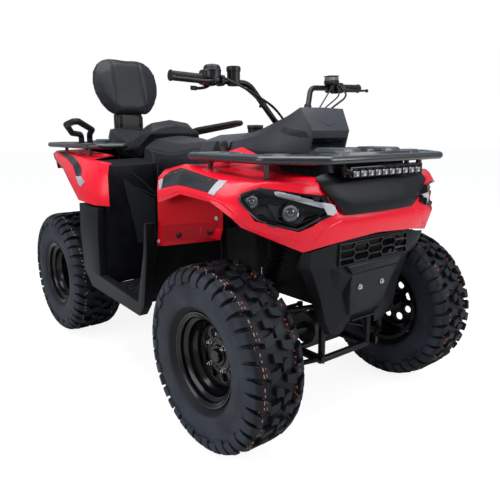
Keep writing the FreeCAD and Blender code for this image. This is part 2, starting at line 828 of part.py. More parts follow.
leftControls = [
    control(1.06 * d.gripLength, 0.34 * d.gripLength, 1.35 * d.gripRadius,
            lever(1.2 * d.gripLength) + [boxAt(1.06 * d.gripLength, 0.34 * d.gripLength, 2.2 * d.gripRadius,
                                                  1.6 * d.gripRadius, 0.6 * d.gripRadius, 0.6 * d.gripRadius)]),
    control(1.50 * d.gripLength, 0.42 * d.gripLength, 1.25 * d.gripRadius,
            [boxAt(1.50 * d.gripLength, 0.42 * d.gripLength, 2.9 * d.gripRadius,
                   2.2 * d.gripRadius, 1.6 * d.gripRadius, 1.1 * d.gripRadius)]),
]
throttle = Part.makeCylinder(1.7 * d.gripRadius, 2.6 * d.gripRadius,
                             barEnd + barWay * (1.30 * d.gripLength) + upward * (0.5 * d.gripRadius)
                             + forward * (0.4 * d.gripRadius))
gauge = Part.makeCylinder(1.15 * d.gripRadius, 3.0 * d.gripRadius,
                          barEnd + barWay * (2.05 * d.gripLength) + upward * (0.3 * d.gripRadius)
                          + forward * (0.4 * d.gripRadius))
rightControls = [
    control(1.06 * d.gripLength, 0.50 * d.gripLength, 1.35 * d.gripRadius, lever(1.2 * d.gripLength) + [throttle]),
    control(1.86 * d.gripLength, 0.40 * d.gripLength, 1.25 * d.gripRadius, [gauge]),
]
shaped("controls", leftControls + [mirrored(solid) for solid in rightControls])

cableShares = [
    [(0.2584, 0.300, 1.2496), (0.300, 0.262, 1.205), (0.304, 0.150, 1.150), (0.302, 0.070, 1.080),
     (0.2880, 0.015, 0.997)],
    [(0.2509, -0.3115, 1.2563), (0.300, -0.262, 1.205), (0.304, -0.150, 1.150), (0.302, -0.070, 1.080),
     (0.2880, -0.015, 0.997)],
]
cables = [bentTube([at(*point) for point in route], d.cableRadius, 4 * d.barBend) for route in cableShares]
shaped("cables", cables)


# Tie rods

def tieRod():
    inner = Vector(frontAxleX - d.steerArmLength, d.tieRodInnerHalf, d.tieRodHeight)
    outer = Vector(frontAxleX - d.steerArmLength, kingpinY, d.tieRodHeight)
    solids = [bar(inner, outer, d.tieRodRadius)]
    for point in (inner, outer):
        solids.append(Part.makeCylinder(d.tieEyeRadius, d.tieEyeHeight, point - upward * (d.tieEyeHeight / 2)))
    rod = joined(solids)
    hole = Part.makeCylinder(d.tiePinRadius + d.pinClearance, 2 * d.tieEyeHeight, outer - upward * d.tieEyeHeight)
    return rod.cut(hole)


shaped("tie_rod_left", [tieRod()])
shaped("tie_rod_right", [mirrored(tieRod())])


# Red front bodywork, one horseshoe around the nose

frontBodyShares = [
    [(0.190, 0.210, 0.984), (0.190, 0.268, 0.936), (0.190, 0.360, 0.926), (0.181, 0.470, 0.926), (0.1875, 0.505, 0.900), (0.200, 0.525, 0.862),
     (0.206, 0.530, 0.814)],
    [(0.245, 0.204, 1.006), (0.245, 0.256, 0.952), (0.245, 0.360, 0.948), (0.236, 0.450, 0.951), (0.262, 0.492, 0.935), (0.282, 0.537, 0.886),
     (0.2925, 0.543, 0.861)],
    [(0.325, 0.205, 0.962), (0.325, 0.270, 0.936), (0.325, 0.360, 0.932), (0.330, 0.450, 0.927), (0.352, 0.497, 0.912), (0.372, 0.543, 0.878),
     (0.384, 0.547, 0.852)],
    [(0.380, 0.225, 0.930), (0.380, 0.300, 0.924), (0.380, 0.350, 0.924), (0.392, 0.440, 0.920), (0.400, 0.490, 0.900), (0.408, 0.520, 0.850),
     (0.4195, 0.518, 0.806)],
    [(0.425, 0.230, 0.924), (0.425, 0.275, 0.924), (0.425, 0.320, 0.924), (0.440, 0.420, 0.915), (0.442, 0.452, 0.880), (0.436, 0.480, 0.820),
     (0.424, 0.492, 0.778)],
    [(0.452, 0.215, 0.918), (0.456, 0.242, 0.920), (0.460, 0.270, 0.920), (0.474, 0.340, 0.910), (0.480, 0.362, 0.870), (0.476, 0.385, 0.795),
     (0.450, 0.410, 0.735)],
    [(0.464, 0.190, 0.905), (0.468, 0.212, 0.912), (0.472, 0.235, 0.915), (0.484, 0.296, 0.900), (0.489, 0.296, 0.850), (0.489, 0.305, 0.775),
     (0.4755, 0.328, 0.694)],
    [(0.472, 0.145, 0.850), (0.476, 0.160, 0.846), (0.480, 0.175, 0.840), (0.489, 0.195, 0.815), (0.492, 0.200, 0.800), (0.494, 0.200, 0.772),
     (0.487, 0.200, 0.712)],
    [(0.476, 0.000, 0.826), (0.480, 0.000, 0.824), (0.484, 0.000, 0.822), (0.492, 0.000, 0.812), (0.495, 0.000, 0.800), (0.498, 0.000, 0.778),
     (0.490, 0.000, 0.724)],
]


def horseshoe(table):
    left = toGrid(table)
    right = [[Vector(point.x, -point.y, point.z) for point in row] for row in reversed(left[:-1])]
    return left + right


frontSkin = gridShell(horseshoe(frontBodyShares), -d.panelWall)
bezelShares = [(0.406, 0.480, 0.869), (0.4445, 0.450, 0.899), (0.483, 0.250, 0.868), (0.489, 0.225, 0.812),
               (0.463, 0.330, 0.761), (0.4295, 0.450, 0.798)]


def flatOutline(shares, way):
    # Points moved along a direction into one plane through their mean
    points = [at(*point) for point in shares]
    centre = Vector(0, 0, 0)
    for point in points:
        centre = centre + point * (1 / len(points))
    return [point - way * (point - centre).dot(way) for point in points], centre


def bezelPrism(grow, depth):
    way = Vector(math.cos(math.radians(32)), math.sin(math.radians(32)), 0)
    points, centre = flatOutline(bezelShares, way)
    points = [centre + (point - centre) * grow for point in points]
    start = [point - way * (depth / 2) for point in points]
    return slab(start, way * depth), way, centre


window, bezelWay, bezelCentre = bezelPrism(1.0, 5 * d.overrun)
frontSkin = frontSkin.cut(window).cut(mirrored(window))

linerShares = [
    [(0.1835, 0.505, 0.852), (0.1815, 0.502, 0.720), (0.1707, 0.500, 0.642)],
    [(0.198, 0.497, 0.852), (0.196, 0.494, 0.720), (0.190, 0.490, 0.645)],
    [(0.318, 0.400, 0.862), (0.316, 0.402, 0.735), (0.300, 0.392, 0.690)],
]
liner = gridShell(toGrid(linerShares), d.panelWall)
shaped("front_body", [solid for solid in frontSkin.Solids] + bothSides([liner]))


# Nose panel

noseShares = [
    [(0.4940, 0.186, 0.807), (0.4935, 0.228, 0.844), (0.48765, 0.272, 0.8902), (0.4712, 0.274, 0.9222)],
    [(0.4990, 0.160, 0.803), (0.5005, 0.170, 0.843), (0.4900, 0.210, 0.902), (0.4640, 0.210, 0.932)],
    [(0.5010, 0.080, 0.803), (0.5025, 0.090, 0.844), (0.4900, 0.100, 0.906), (0.4600, 0.100, 0.936)],
    [(0.5015, 0.000, 0.803), (0.5030, 0.000, 0.844), (0.4900, 0.000, 0.908), (0.4600, 0.000, 0.938)],
]
shaped("nose_panel", [gridShell(horseshoe(noseShares), -d.panelWall)])


# Headlamps

def headlamp():
    bezel, way, centre = bezelPrism(0.995, 1.2 * d.lampLength)
    inset, way, centre = bezelPrism(0.86, 1.2 * d.lampLength)
    inset.translate(way * (0.35 * d.lampLength))
    housing = bezel.cut(inset)
    lampShares = [(0.425, 0.432, 0.842), (0.461, 0.335, 0.812)]
    solids = [housing]
    for point in lampShares:
        spot = at(*point)
        spot = spot - way * (spot - centre).dot(way)
        solids.append(Part.makeCylinder(d.lampRadius, 0.75 * d.lampLength, spot - way * (0.35 * d.lampLength), way))
    return joined(solids)


shaped("headlamps", bothSides([headlamp()]))


# Front cover below the nose and its grille

coverShares = [
    [(0.470, 0.322, 0.688), (0.455, 0.318, 0.632), (0.440, 0.262, 0.600), (0.445, 0.224, 0.505),
     (0.450, 0.202, 0.423), (0.445, 0.150, 0.360)],
    [(0.479, 0.300, 0.692), (0.472, 0.288, 0.632), (0.464, 0.255, 0.600), (0.462, 0.212, 0.505),
     (0.463, 0.188, 0.423), (0.455, 0.140, 0.360)],
    [(0.484, 0.196, 0.706), (0.482, 0.192, 0.622), (0.478, 0.176, 0.600), (0.467, 0.115, 0.515),
     (0.465, 0.098, 0.430), (0.458, 0.090, 0.362)],
    [(0.484, 0.193, 0.706), (0.482, 0.188, 0.622), (0.485, 0.130, 0.596), (0.474, 0.092, 0.520),
     (0.470, 0.078, 0.425), (0.462, 0.075, 0.400)],
    [(0.484, 0.120, 0.712), (0.482, 0.120, 0.622), (0.485, 0.112, 0.592), (0.464, 0.078, 0.560),
     (0.461, 0.072, 0.440), (0.462, 0.060, 0.400)],
    [(0.484, 0.000, 0.712), (0.482, 0.000, 0.622), (0.485, 0.000, 0.592), (0.464, 0.000, 0.575),
     (0.461, 0.000, 0.440), (0.462, 0.000, 0.400)],
]
cover = gridShell(horseshoe(coverShares), -d.panelWall)
grilleTop = at(0.484, 0.182, 0.704)
grilleLow = at(0.482, 0.182, 0.628)
grilleHole = Part.makeBox(4 * d.overrun, 2 * grilleTop.y, grilleTop.z - grilleLow.z,
                          Vector(grilleTop.x - 2 * d.overrun, -grilleTop.y, grilleLow.z))
shaped("front_cover", [max(cover.cut(grilleHole).Solids, key=lambda solid: solid.Volume)])

grilleX = grilleLow.x - d.grilleWall - d.panelWall - 2 * d.seamGap
grillePlate = Part.makeBox(d.grilleWall, 2 * grilleTop.y - 2 * d.seamGap, grilleTop.z - grilleLow.z - 2 * d.seamGap,
                           Vector(grilleX + d.grilleWall, -grilleTop.y + d.seamGap, grilleLow.z + d.seamGap))
pitchY = 2 * d.grilleCell + d.grilleWeb
pitchZ = d.grilleCell * 0.62 + d.grilleWeb / 2
cells = []
for row in range(4):
    count = 7 if row % 2 == 0 else 6
    for column in range(count):
        y = (column - (count - 1) / 2) * pitchY
        z = grilleLow.z + d.grilleWeb + (row + 0.38) * pitchZ
        corners = []
        for across, rise in ((-1, 0), (-0.6, -0.42), (0.6, -0.42), (1, 0), (0.6, 0.42), (-0.6, 0.42)):
            corners.append(Vector(grilleX, y + across * d.grilleCell * 0.98, z + rise * d.grilleCell * 1.05))
        cells.append(slab(corners, forward * 3 * d.grilleWall))
grille = grillePlate
for cellShape in cells:
    grille = grille.cut(cellShape)
shaped("grille", [max(grille.Solids, key=lambda solid: solid.Volume)])


# Splash panels inside the front wheel arches

splashShares = [(0.250, 0.440), (0.425, 0.440), (0.425, 0.780), (0.250, 0.780)]
splashY = d.railHalf - d.crossRadius - d.seamGap
splash = slab([Vector(along * bodyLength, splashY - d.panelWall, up * d.rackHeight) for along, up in splashShares],
              alongY * d.panelWall)
shaped("splash_panels", bothSides([splash]))


# Radiator behind the grille

radiator = doc.addObject("Part::Box", "RadiatorCore")
radiatorFrontShare = 0.461 * lengthShare
radiatorBack = "Sizes.wheelbase / 2 + Sizes.armSpread / 2 - Sizes.railRadius + Sizes.crossRadius + Sizes.seamGap"
radiator.setExpression("Length", f"{radiatorFrontShare} * Sizes.wheelbase - Sizes.panelWall - Sizes.radiatorGap "
                       f"- ({radiatorBack})")
radiator.setExpression("Width", "Sizes.radiatorWidth")
radiator.setExpression("Height", "Sizes.radiatorHeight")
radiator.setExpression("Placement.Base.y", "-Sizes.radiatorWidth / 2")
radiator.setExpression("Placement.Base.z", "0.52 * Sizes.rackHeight")
radiatorBody = doc.addObject("Part::Compound", "RadiatorBody")
radiatorBody.Links = [radiator]
radiator.setExpression("Placement.Base.x", radiatorBack)
keep(radiatorBody, "radiator")


# Racks

def rackPlateFrom(outline, holes):
    plate = slab(outline, upward * -d.rackPlate)
    for hole in holes:
        cut = slab([at(*p) + upward * d.overrun for p in hole], upward * (-3 * d.overrun))
        plate = plate.cut(cut).cut(mirrored(cut))
    return plate


frontRackShares = [
    (0.340, 0.205, 0.985), (0.300, 0.280, 0.985), (0.225, 0.282, 0.985), (0.225, 0.385, 0.985),
    (0.245, 0.420, 0.985), (0.430, 0.420, 0.985), (0.502, 0.290, 0.985), (0.502, 0.000, 0.985),
    (0.360, 0.000, 0.985), (0.360, 0.150, 0.985),
]
frontRackHoleShares = [
    [(0.234, 0.300, 0.985), (0.234, 0.380, 0.985), (0.250, 0.402, 0.985), (0.270, 0.402, 0.985),
     (0.270, 0.300, 0.985)],
    [(0.290, 0.300, 0.985), (0.290, 0.325, 0.985), (0.385, 0.325, 0.985), (0.385, 0.300, 0.985)],
    [(0.290, 0.350, 0.985), (0.290, 0.375, 0.985), (0.400, 0.375, 0.985), (0.400, 0.350, 0.985)],
    [(0.450, 0.200, 0.985), (0.440, 0.330, 0.985), (0.455, 0.330, 0.985), (0.485, 0.270, 0.985),
     (0.485, 0.200, 0.985)],
]
frontTubeShares = [
    (0.290, 0.276, 0.978), (0.219, 0.276, 0.978), (0.219, 0.400, 0.978), (0.240, 0.428, 0.978),
    (0.432, 0.428, 0.978), (0.508, 0.292, 0.978),
]


def rack(shares, holes, tubes, posts, pads):
    half = [at(*p) for p in shares]
    middle = [p for p in half if p.y == 0]
    outer = half[:half.index(middle[0]) + 1]
    inner = half[half.index(middle[0]) + 1:]
    loop = outer + [Vector(p.x, -p.y, p.z) for p in reversed(outer[:-1])]
    innerLoop = [Vector(p.x, -p.y, p.z) for p in reversed(inner) if p.y > 0] + [p for p in inner if p.y >= 0]
    plate = rackPlateFrom(loop + innerLoop, holes)
    tubeLeft = [at(*p) for p in tubes]
    tubeRight = [Vector(p.x, -p.y, p.z) for p in reversed(tubeLeft)]
    rim = bentTube(tubeLeft + tubeRight, d.rackTube, 2.6 * d.rackTube)
    solids = [plate, rim]
    for head, foot in posts:
        leg = bar(at(*foot), at(*head), d.rackPost)
        solids += [leg, mirrored(leg)]
    for low, high in pads:
        base = at(*low)
        reach = at(*high) - base
        pad = Part.makeBox(abs(reach.x), abs(reach.y), d.rackPad + d.rackPlate / 2,
                           base - upward * (d.rackPlate / 2))
        solids += [pad, mirrored(pad)] if base.y >= 0 else [pad]
    return joined(solids)


frontPostShares = [((0.430, 0.400, 0.980), (0.430, 0.400, 0.9190)), ((0.280, 0.400, 0.980), (0.280, 0.400, 0.9432)),
              ((0.470, 0.200, 0.980), (0.470, 0.200, 0.9343))]
frontPadShares = [((0.400, -0.160, 0.985), (0.490, 0.160, 0.985))]
shaped("front_rack", [rack(frontRackShares, frontRackHoleShares, frontTubeShares, frontPostShares, frontPadShares)])

rearRackShares = [
    (-0.330, 0.250, 1.002), (-0.200, 0.250, 1.002), (-0.200, 0.380, 1.002), (-0.222, 0.415, 1.002),
    (-0.490, 0.415, 1.002), (-0.538, 0.330, 1.002), (-0.538, 0.000, 1.002), (-0.420, 0.000, 1.002),
    (-0.420, 0.190, 1.002),
]
rearRackHoleShares = [
    [(-0.212, 0.275, 1.002), (-0.212, 0.370, 1.002), (-0.232, 0.395, 1.002), (-0.262, 0.395, 1.002),
     (-0.262, 0.275, 1.002)],
    [(-0.285, 0.275, 1.002), (-0.285, 0.300, 1.002), (-0.335, 0.300, 1.002), (-0.335, 0.275, 1.002)],
    [(-0.285, 0.345, 1.002), (-0.285, 0.370, 1.002), (-0.425, 0.370, 1.002), (-0.425, 0.345, 1.002)],
    [(-0.485, 0.180, 1.002), (-0.485, 0.350, 1.002), (-0.522, 0.300, 1.002), (-0.522, 0.180, 1.002)],
]
rearTubeShares = [
    (-0.300, 0.244, 0.995), (-0.194, 0.244, 0.995), (-0.194, 0.392, 0.995), (-0.220, 0.424, 0.995),
    (-0.494, 0.424, 0.995), (-0.5412, 0.338, 0.995),
]
rearPostShares = [((-0.240, 0.400, 0.998), (-0.240, 0.400, 0.9483)), ((-0.440, 0.370, 0.998), (-0.440, 0.370, 0.9625)),
             ((-0.519, 0.100, 0.998), (-0.519, 0.100, 0.9680))]
rearPadShares = [((-0.530, -0.150, 1.002), (-0.430, 0.150, 1.002))]
shaped("rear_rack", [rack(rearRackShares, rearRackHoleShares, rearTubeShares, rearPostShares, rearPadShares)])


# Light bar under the front rack

lightX = 0.497 * bodyLength
lightZ = 0.938 * d.rackHeight
lightCase = Part.makeBox(d.lightBarDepth, d.lightBarWidth, d.lightBarHeight,
                         Vector(lightX - d.lightBarDepth / 2, -d.lightBarWidth / 2, lightZ - d.lightBarHeight / 2))
for index in range(10):
    y = (index - 4.5) * (d.lightCell + d.grilleWeb)
    lightCase = lightCase.cut(Part.makeBox(d.grilleWeb, d.lightCell, d.lightBarHeight - 2 * d.grilleWeb,
                                           Vector(lightX + d.lightBarDepth / 2 - d.grilleWeb, y - d.lightCell / 2,
                                                  lightZ - d.lightBarHeight / 2 + d.grilleWeb)))
ears = []
for side in (-1, 1):
    earTop = 0.985 * d.rackHeight - d.rackPlate - d.seamGap
    ears.append(Part.makeBox(d.lightBarDepth / 4, d.grilleWeb, earTop - lightZ + d.lightBarHeight / 2,
                             Vector(lightX - d.lightBarDepth / 4, side * (d.lightBarWidth + d.grilleWeb) / 2
                                    - d.grilleWeb / 2, lightZ - d.lightBarHeight / 2)))
shaped("light_bar", [joined([lightCase] + ears)])


# Instrument pod and tank cover

podShares = [
    [(0.193, 0.185, 0.9855), (0.193, 0.172, 1.024), (0.205, 0.150, 1.040)],
    [(0.265, 0.168, 0.9855), (0.262, 0.158, 1.048), (0.268, 0.140, 1.075)],
    [(0.325, 0.145, 0.9855), (0.328, 0.132, 1.066), (0.325, 0.120, 1.118)],
    [(0.366, 0.098, 0.9855), (0.377, 0.097, 1.066), (0.3525, 0.112, 1.146)],
    [(0.369, 0.000, 0.9855), (0.380, 0.000, 1.066), (0.3545, 0.000, 1.148)],
]
dashShares = [
    (0.196, 0.178, 1.000), (0.264, 0.164, 1.000), (0.325, 0.141, 1.000), (0.366, 0.096, 1.000),
    (0.369, 0.000, 1.000),
]
dashSlotShares = [(0.262, -0.062, 1.006), (0.318, -0.062, 1.006), (0.318, 0.062, 1.006), (0.262, 0.062, 1.006)]
dashLeft = [at(*point) for point in dashShares]
dashRight = [Vector(point.x, -point.y, point.z) for point in reversed(dashLeft[:-1])]
dash = slab(dashLeft + dashRight, upward * d.panelWall)
dash = dash.cut(slab([at(*point) for point in dashSlotShares], upward * (-4 * d.panelWall)))
shaped("pod", [joined([gridShell(horseshoe(podShares), d.panelWall), dash])])

tankShares = [
    [(0.095, 0.205, 0.950), (0.095, 0.185, 1.020), (0.095, 0.090, 1.046), (0.095, 0.000, 1.050)],
    [(0.160, 0.212, 0.950), (0.160, 0.185, 1.024), (0.160, 0.090, 1.052), (0.160, 0.000, 1.058)],
    [(0.190, 0.205, 0.950), (0.190, 0.172, 1.022), (0.190, 0.090, 1.050), (0.190, 0.000, 1.056)],
]
tank = gridShell(acrossGrid(tankShares), -d.panelWall)
capSpot = at(0.1595, 0.000, 1.0613)
cap = joined([
    Part.makeCylinder(0.8 * d.capRadius, d.capHeight, capSpot),
    Part.makeCylinder(d.capRadius, 0.4 * d.capHeight, capSpot + upward * (0.7 * d.capHeight)),
])
shaped("tank_cover", [tank, cap])


# Foot wells: front wall, floor edge, rear wall and inner wall as separate panels

frontWallShares = [
    [(0.1735, 0.496, 0.800), (0.1735, 0.250, 0.800)],
    [(0.1705, 0.500, 0.640), (0.1705, 0.250, 0.640)],
    [(0.1380, 0.508, 0.440), (0.1380, 0.250, 0.440)],
    [(0.1178, 0.508, 0.3903), (0.1178, 0.250, 0.3903)],
]
rearWallShares = [
    [(-0.1500, 0.236, 0.936), (-0.1500, 0.466, 0.929)],
    [(-0.0980, 0.236, 0.932), (-0.0960, 0.466, 0.925)],
    [(-0.0560, 0.238, 0.918), (-0.0540, 0.478, 0.912)],
    [(-0.0550, 0.240, 0.860), (-0.0540, 0.503, 0.860)],
    [(-0.0540, 0.240, 0.700), (-0.0540, 0.511, 0.700)],
    [(-0.0560, 0.240, 0.440), (-0.0560, 0.511, 0.440)],
    [(-0.0540, 0.240, 0.3905), (-0.0540, 0.511, 0.3905)],
]
innerWallShares = [
    [(-0.0500, 0.222, 0.942), (0.0400, 0.214, 0.946), (0.1100, 0.208, 0.948), (0.1690, 0.216, 0.944)],
    [(-0.0510, 0.236, 0.905), (0.0400, 0.226, 0.910), (0.1100, 0.236, 0.910), (0.1690, 0.262, 0.890)],
    [(-0.0520, 0.246, 0.760), (0.0400, 0.236, 0.800), (0.1100, 0.250, 0.800), (0.1690, 0.282, 0.780)],
    [(-0.0520, 0.244, 0.560), (0.0400, 0.236, 0.560), (0.1100, 0.238, 0.560), (0.1500, 0.245, 0.560)],
    [(-0.0520, 0.244, 0.3905), (0.0400, 0.240, 0.3905), (0.1100, 0.240, 0.3905), (0.1200, 0.240, 0.3905)],
]
wellLeft = [
    gridShell(toGrid(frontWallShares), d.panelWall),
    gridShell(toGrid(rearWallShares), d.panelWall),
    gridShell(toGrid(innerWallShares), d.panelWall),
]
shaped("footwells", bothSides(wellLeft))


# Footboards with raised ribs

boardRear = at(-0.0530, 0.238, 0.384)
boardFront = at(0.1190, 0.5445, 0.384)
board = Part.makeBox(boardFront.x - boardRear.x, boardFront.y - boardRear.y, d.boardWall, boardRear)
ribCount = 7
ribs = []
for index in range(ribCount):
    x = boardRear.x + (index + 0.7) * (boardFront.x - boardRear.x) / (ribCount + 0.4)
    ribs.append(Part.makeBox(d.boardRib / 2, 0.80 * (boardFront.y - boardRear.y), d.boardWall,
                             Vector(x, boardRear.y + 0.12 * (boardFront.y - boardRear.y),
                                    boardRear.z + d.boardWall / 2)))
shaped("footboards", bothSides([joined([board] + ribs)]))


# Side panels: a rear pillar, a rail under the foot well and a front wing

sideOutlineShares = [
    (-0.146, 0.512, 0.744), (-0.044, 0.512, 0.740), (-0.052, 0.512, 0.600), (-0.0545, 0.512, 0.434),
    (0.125, 0.512, 0.402), (0.157, 0.512, 0.610), (0.166, 0.512, 0.730), (0.1735, 0.512, 0.730),
    (0.1700, 0.512, 0.610), (0.1500, 0.512, 0.398), (0.1285, 0.512, 0.346), (-0.1015, 0.512, 0.367),
    (-0.142, 0.512, 0.440), (-0.150, 0.512, 0.600),
]
sideDepth = 0.036 * d.bodyWidth
sideOuter = slab([at(*point) for point in sideOutlineShares], alongY * sideDepth)
sideFace = face([at(*point) for point in sideOutlineShares])
sideCore = sideFace.makeOffset2D(-d.panelWall).extrude(alongY * (sideDepth - d.panelWall))
sidePanel = sideOuter.cut(sideCore)
shaped("side_panels", bothSides([max(sidePanel.Solids, key=lambda solid: solid.Volume)]))


# Red rear bodywork

rearBodyShares = [
    [(-0.052, 0.462, 0.930), (-0.048, 0.480, 0.926), (-0.034, 0.502, 0.880), (-0.026, 0.509, 0.750)],
    [(-0.100, 0.462, 0.934), (-0.096, 0.490, 0.930), (-0.078, 0.535, 0.860), (-0.062, 0.545, 0.750)],
    [(-0.154, 0.462, 0.940), (-0.154, 0.486, 0.934), (-0.152, 0.540, 0.850), (-0.150, 0.548, 0.756)],
    [(-0.215, 0.300, 0.948), (-0.215, 0.460, 0.942), (-0.222, 0.525, 0.890), (-0.226, 0.532, 0.836)],
    [(-0.290, 0.290, 0.956), (-0.290, 0.446, 0.950), (-0.296, 0.496, 0.918), (-0.300, 0.500, 0.880)],
    [(-0.400, 0.270, 0.962), (-0.400, 0.425, 0.958), (-0.404, 0.455, 0.938), (-0.406, 0.456, 0.908)],
    [(-0.480, 0.250, 0.966), (-0.490, 0.390, 0.962), (-0.498, 0.408, 0.944), (-0.496, 0.405, 0.916)],
    [(-0.510, 0.150, 0.968), (-0.525, 0.200, 0.964), (-0.532, 0.205, 0.944), (-0.528, 0.200, 0.912)],
    [(-0.514, 0.000, 0.968), (-0.528, 0.000, 0.964), (-0.535, 0.000, 0.944), (-0.531, 0.000, 0.912)],
]
shaped("rear_body", [gridShell(horseshoe(rearBodyShares), d.panelWall)])


# Tail lamps under the rear corners

tailShares = [
    [(-0.420, 0.360, 0.918), (-0.420, 0.4443, 0.918), (-0.425, 0.440, 0.870), (-0.425, 0.360, 0.870)],
    [(-0.488, 0.320, 0.924), (-0.488, 0.4056, 0.924), (-0.482, 0.400, 0.865), (-0.482, 0.320, 0.865)],
]
tailLamp = ringSolid([[at(*point) for point in ring] for ring in tailShares])
shaped("tail_lamps", bothSides([tailLamp]))


# Seats and backrest, plain closed solids

riderShares = [
    (-0.160, [(0.000, 0.850), (0.170, 0.850), (0.206, 0.925), (0.196, 0.990), (0.130, 1.034), (0.000, 1.046)]),
    (-0.100, [(0.000, 0.850), (0.190, 0.850), (0.210, 0.910), (0.200, 0.972), (0.130, 1.014), (0.000, 1.024)]),
    (-0.040, [(0.000, 0.850), (0.195, 0.850), (0.210, 0.900), (0.200, 0.962), (0.130, 1.004), (0.000, 1.014)]),
    (0.030, [(0.000, 0.850), (0.185, 0.850), (0.202, 0.910), (0.188, 0.978), (0.120, 1.016), (0.000, 1.026)]),
    (0.0925, [(0.000, 0.850), (0.160, 0.850), (0.172, 0.930), (0.156, 0.996), (0.100, 1.026), (0.000, 1.036)]),
]
shaped("rider_seat", [ringSolid(symmetricRings(riderShares))])

passengerShares = [
    (-0.385, [(0.000, 0.960), (0.130, 0.965), (0.175, 1.040), (0.160, 1.088), (0.080, 1.076), (0.000, 1.070)]),
    (-0.345, [(0.000, 0.940), (0.150, 0.940), (0.204, 1.030), (0.190, 1.090), (0.095, 1.066), (0.000, 1.056)]),
    (-0.295, [(0.000, 0.940), (0.185, 0.940), (0.222, 0.985), (0.208, 1.046), (0.105, 1.044), (0.000, 1.038)]),
    (-0.245, [(0.000, 0.940), (0.195, 0.940), (0.226, 0.970), (0.205, 1.014), (0.120, 1.052), (0.000, 1.060)]),
    (-0.215, [(0.000, 0.940), (0.185, 0.940), (0.215, 0.975), (0.190, 1.030), (0.118, 1.088), (0.000, 1.104)]),
    (-0.196, [(0.000, 0.940), (0.170, 0.940), (0.196, 0.985), (0.175, 1.050), (0.110, 1.108), (0.000, 1.125)]),
    (-0.163, [(0.000, 1.062), (0.110, 1.058), (0.150, 1.060), (0.140, 1.076), (0.090, 1.094), (0.000, 1.106)]),
]
shaped("passenger_seat", [ringSolid(symmetricRings(passengerShares))])

backrestShares = [
    (1.156, 0.108, 0.016), (1.176, 0.136, 0.028), (1.215, 0.168, 0.034), (1.275, 0.196, 0.037),
    (1.335, 0.204, 0.038), (1.395, 0.194, 0.037), (1.440, 0.166, 0.034), (1.466, 0.130, 0.028),
    (1.476, 0.096, 0.018),
]
backX = -0.415
rings = []
for up, half, depth in backrestShares:
    lean = backX - 0.10 * (up - 1.156)
    front = lean + depth / 2
    rear = lean - depth / 2
    rings.append([at(front, -half * 0.55, up), at(front, half * 0.55, up), at(lean + depth * 0.25, half, up),
                  at(lean - depth * 0.25, half, up), at(rear, half * 0.55, up), at(rear, -half * 0.55, up),
                  at(lean - depth * 0.25, -half, up), at(lean + depth * 0.25, -half, up)])
shaped("backrest_pad", [ringSolid(rings)])

bracket = []
for side in (-1, 1):
    foot = at(-0.425, side * 0.062, 1.016)
    knee = at(-0.4155, side * 0.062, 1.110)
    top = at(-0.4155, side * 0.062, 1.1555)
    bracket += bentBars([foot, knee, top], d.bracketRadius)
bracket.append(Part.makeBox(0.05 * bodyLength, 0.20 * d.bodyWidth, d.rackPlate / 2,
                            at(-0.445, -0.100, 1.0145)))
plateSide = [at(-0.4190, -0.078, 1.018), at(-0.4120, -0.078, 1.018), at(-0.4120, -0.078, 1.150),
             at(-0.4190, -0.078, 1.150)]
bracket.append(slab(plateSide, alongY * (0.156 * d.bodyWidth)))
shaped("backrest_bracket", [joined(bracket)])

handleShares = [(-0.360, 0.300, 1.0025), (-0.360, 0.300, 1.050), (-0.305, 0.330, 1.075), (-0.215, 0.470, 1.112),
                (-0.205, 0.500, 1.112), (-0.255, 0.500, 1.098), (-0.360, 0.395, 1.058), (-0.405, 0.310, 1.050),
                (-0.405, 0.310, 1.0025)]
shaped("grab_handles", bothSides([bentTube([at(*p) for p in handleShares], d.handleRadius * 0.8, 2 * d.handleRadius)]))


# Gear lever

leverFoot = at(0.2001, -0.2275, 0.9808)
leverTop = at(0.2115, -0.250, 1.002)
shaped("gear_lever", [joined([bar(leverFoot, leverTop, d.leverRadius), Part.makeSphere(d.knobRadius, leverTop)])])


# Skid plate, exhaust

skid = doc.addObject("Part::Box", "SkidSheet")
skid.setExpression("Length", "%s * Sizes.wheelbase" % (0.58 * lengthShare))
skid.setExpression("Width", "Sizes.skidWidth")
skid.setExpression("Height", "Sizes.skidWall")
skid.setExpression("Placement.Base.x", "%s * Sizes.wheelbase" % (-0.28 * lengthShare))
skid.setExpression("Placement.Base.y", "-Sizes.skidWidth / 2")
skid.setExpression("Placement.Base.z", "Sizes.lowerRailHeight - Sizes.railRadius - Sizes.skidWall - Sizes.seamGap")
skidBody = doc.addObject("Part::Compound", "SkidBody")
skidBody.Links = [skid]
keep(skidBody, "skid_plate")

silencerMid = Vector(rearAxleX - d.silencerLength / 3, 0,
                     upperRailHeight - d.crossRadius - d.silencerRadius - d.seamGap)
silencer = Part.makeCylinder(d.silencerRadius, d.silencerLength, silencerMid - forward * (d.silencerLength / 2), forward)
tail = bar(silencerMid - forward * (0.6 * d.silencerLength), silencerMid, d.tailpipeRadius)
pipe = bentTube([silencerMid, silencerMid + forward * (0.9 * d.silencerLength),
                 Vector(engineRearX - d.exhaustRadius, 0, 0.60 * d.rackHeight),
                 Vector(engineRearX - d.seamGap, 0, 0.60 * d.rackHeight)], d.exhaustRadius, 4 * d.exhaustRadius)
shaped("exhaust", [joined([silencer, tail, pipe])])


# Checks and export

